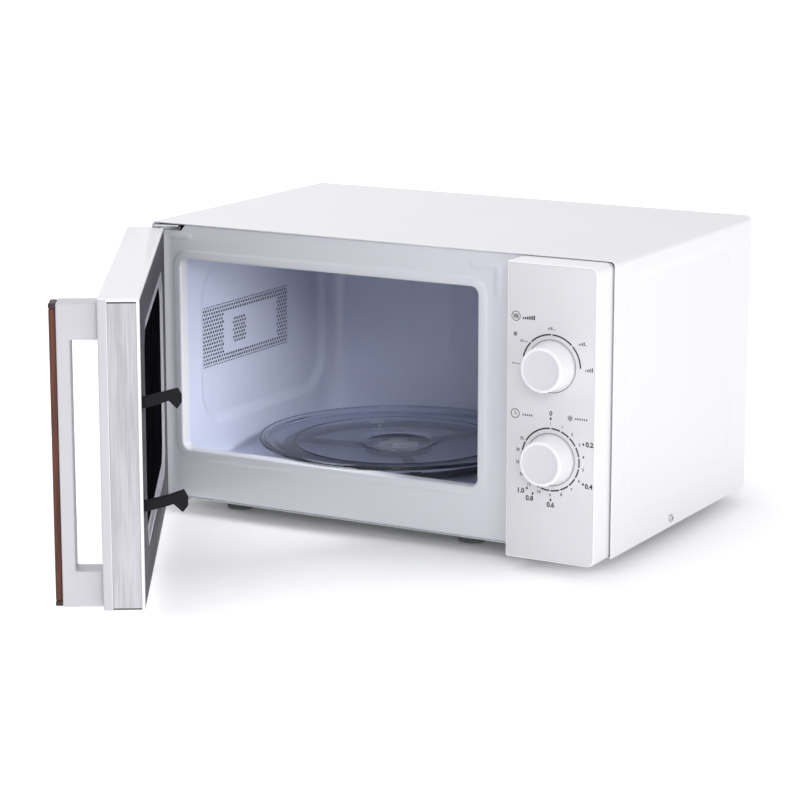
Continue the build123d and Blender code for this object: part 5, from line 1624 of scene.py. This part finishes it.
place(
    refined("latch_hooks", "door_hooks", materials["hook_plastic"], 0.7 * MM, 3),
    "latch", "hook_plastic", "latch_hooks",
)
spring_low, spring_high = shut_box("hook_spring")
spring = spring_recipe.run(
    "hook_coil_spring", bpy.data.meshes.new("spring"), Radius=2.3 * MM, Wire=0.35 * MM,
    Height=spring_high.z - spring_low.z, Turns=13.0,
    Foot=((spring_low.x + spring_high.x) / 2, (spring_low.y + spring_high.y) / 2, spring_low.z),
    Material=materials["screw_steel"],
)
place(spring, "door", "screw_steel", "hook_spring", on_door=True)
for node, name, body, width in (
    ("hinge_brackets", "door_hinges", "oven", 0.3 * MM),
    ("base_plate", "floor_pan", "oven", 0.25 * MM),
    ("latch_body", "latch_housing", "oven", 0.4 * MM),
    ("interlock_lever", "interlock_arm", "interlock", 0.4 * MM),
):
    slot_name = next(s["material_slot"] for s in frame["record"]["subparts"] if s["node"] == node)
    place(refined(node, name, materials[slot_name], width), body, slot_name, node)

# ------------------------------------------------------------------ room, lights and camera

def area_light(name, place, aim, size, watts, colour=(1, 1, 1)):
    """A soft light that looks at a point."""
    data = bpy.data.lights.new(name, "AREA")
    data.shape = "RECTANGLE"
    data.size, data.size_y = size
    data.energy = watts
    data.color = colour
    light = bpy.data.objects.new(name, data)
    light.location = place
    light.rotation_euler = (Vector(aim) - Vector(place)).to_track_quat("-Z", "Y").to_euler()
    bpy.context.scene.collection.objects.link(light)
    return light


floor_mesh = bpy.data.meshes.new("floor")
floor_mesh.from_pydata([(-6, -6, 0), (6, -6, 0), (6, 6, 0), (-6, 6, 0)], [], [(0, 1, 2, 3)])
floor_finish_painted_shadow = Finish(
    "floor_glow_painted_shadow", (0.9, 0.9, 0.9), 0.6, Specular_IOR_Level=0.2, Emission_Color=(1, 1, 1, 1),
)
# The floor glows less close to the oven and fully further off: a painted shadow round the oven.
middle = (cad_low + cad_high) / 2
away = floor_finish_painted_shadow.node(
    "ShaderNodeVectorMath", {0: floor_finish_painted_shadow.place, 1: (middle.x, 0.1, 0)}, operation="DISTANCE",
).outputs["Value"]
floor_finish_painted_shadow.tree.links.new(
    floor_finish_painted_shadow.remap(away, 0.04, 0.42, start=0.17, end=0.42), floor_finish_painted_shadow.shader.inputs["Emission Strength"],
)
floor_finish_painted_shadow.relief(floor_finish_painted_shadow.noise(400, 3), 0.01 * MM, 0.2)
floor = new_piece("floor", floor_mesh, floor_finish_painted_shadow.material)
floor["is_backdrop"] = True

world = bpy.data.worlds.new("white_room")
bpy.context.scene.world = world
world.use_nodes = True
sky = world.node_tree
sky.nodes.clear()
output = sky.nodes.new("ShaderNodeOutputWorld")
mixed = sky.nodes.new("ShaderNodeMixShader")
rays = sky.nodes.new("ShaderNodeLightPath")
seen = sky.nodes.new("ShaderNodeBackground")
seen.inputs["Color"].default_value = (1, 1, 1, 1)
seen.inputs["Strength"].default_value = 1.05
lit = sky.nodes.new("ShaderNodeBackground")
lit.inputs["Color"].default_value = (0.97, 0.97, 1.0, 1)
lit.inputs["Strength"].default_value = 0.76
sky.links.new(rays.outputs["Is Camera Ray"], mixed.inputs[0])
sky.links.new(lit.outputs[0], mixed.inputs[1])
sky.links.new(seen.outputs[0], mixed.inputs[2])
sky.links.new(mixed.outputs[0], output.inputs[0])

area_light("key", (2.0, -0.35, 0.34), (0.376, 0.05, 0.13), (0.9, 0.5), 2.4)
area_light("roof", (-0.45, 0.05, 1.35), (-0.05, 0.08, 0.25), (0.6, 0.6), 6).visible_glossy = False
area_light("front", (1.35, -1.7, 1.05), (0.10, -0.03, 0.13), (0.9, 0.6), 11)
chamber = area_light("chamber", (0.235, -0.008, 0.205), (-0.04, 0.0, 0.035), (0.04, 0.04), 0.135)
chamber.data.spread = radians(80)
chamber.visible_glossy = False

camera_data = bpy.data.cameras.new("camera")
camera_data.lens = 124.4
camera_data.sensor_width = 36
camera = bpy.data.objects.new("camera", camera_data)
camera.location = (1.2761, -1.9911, 0.6074)
camera.rotation_euler = (radians(77.783), 0, radians(29.274))
bpy.context.scene.collection.objects.link(camera)
bpy.context.scene.camera = camera
bpy.context.scene.view_settings.view_transform = "Standard"

low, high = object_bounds()
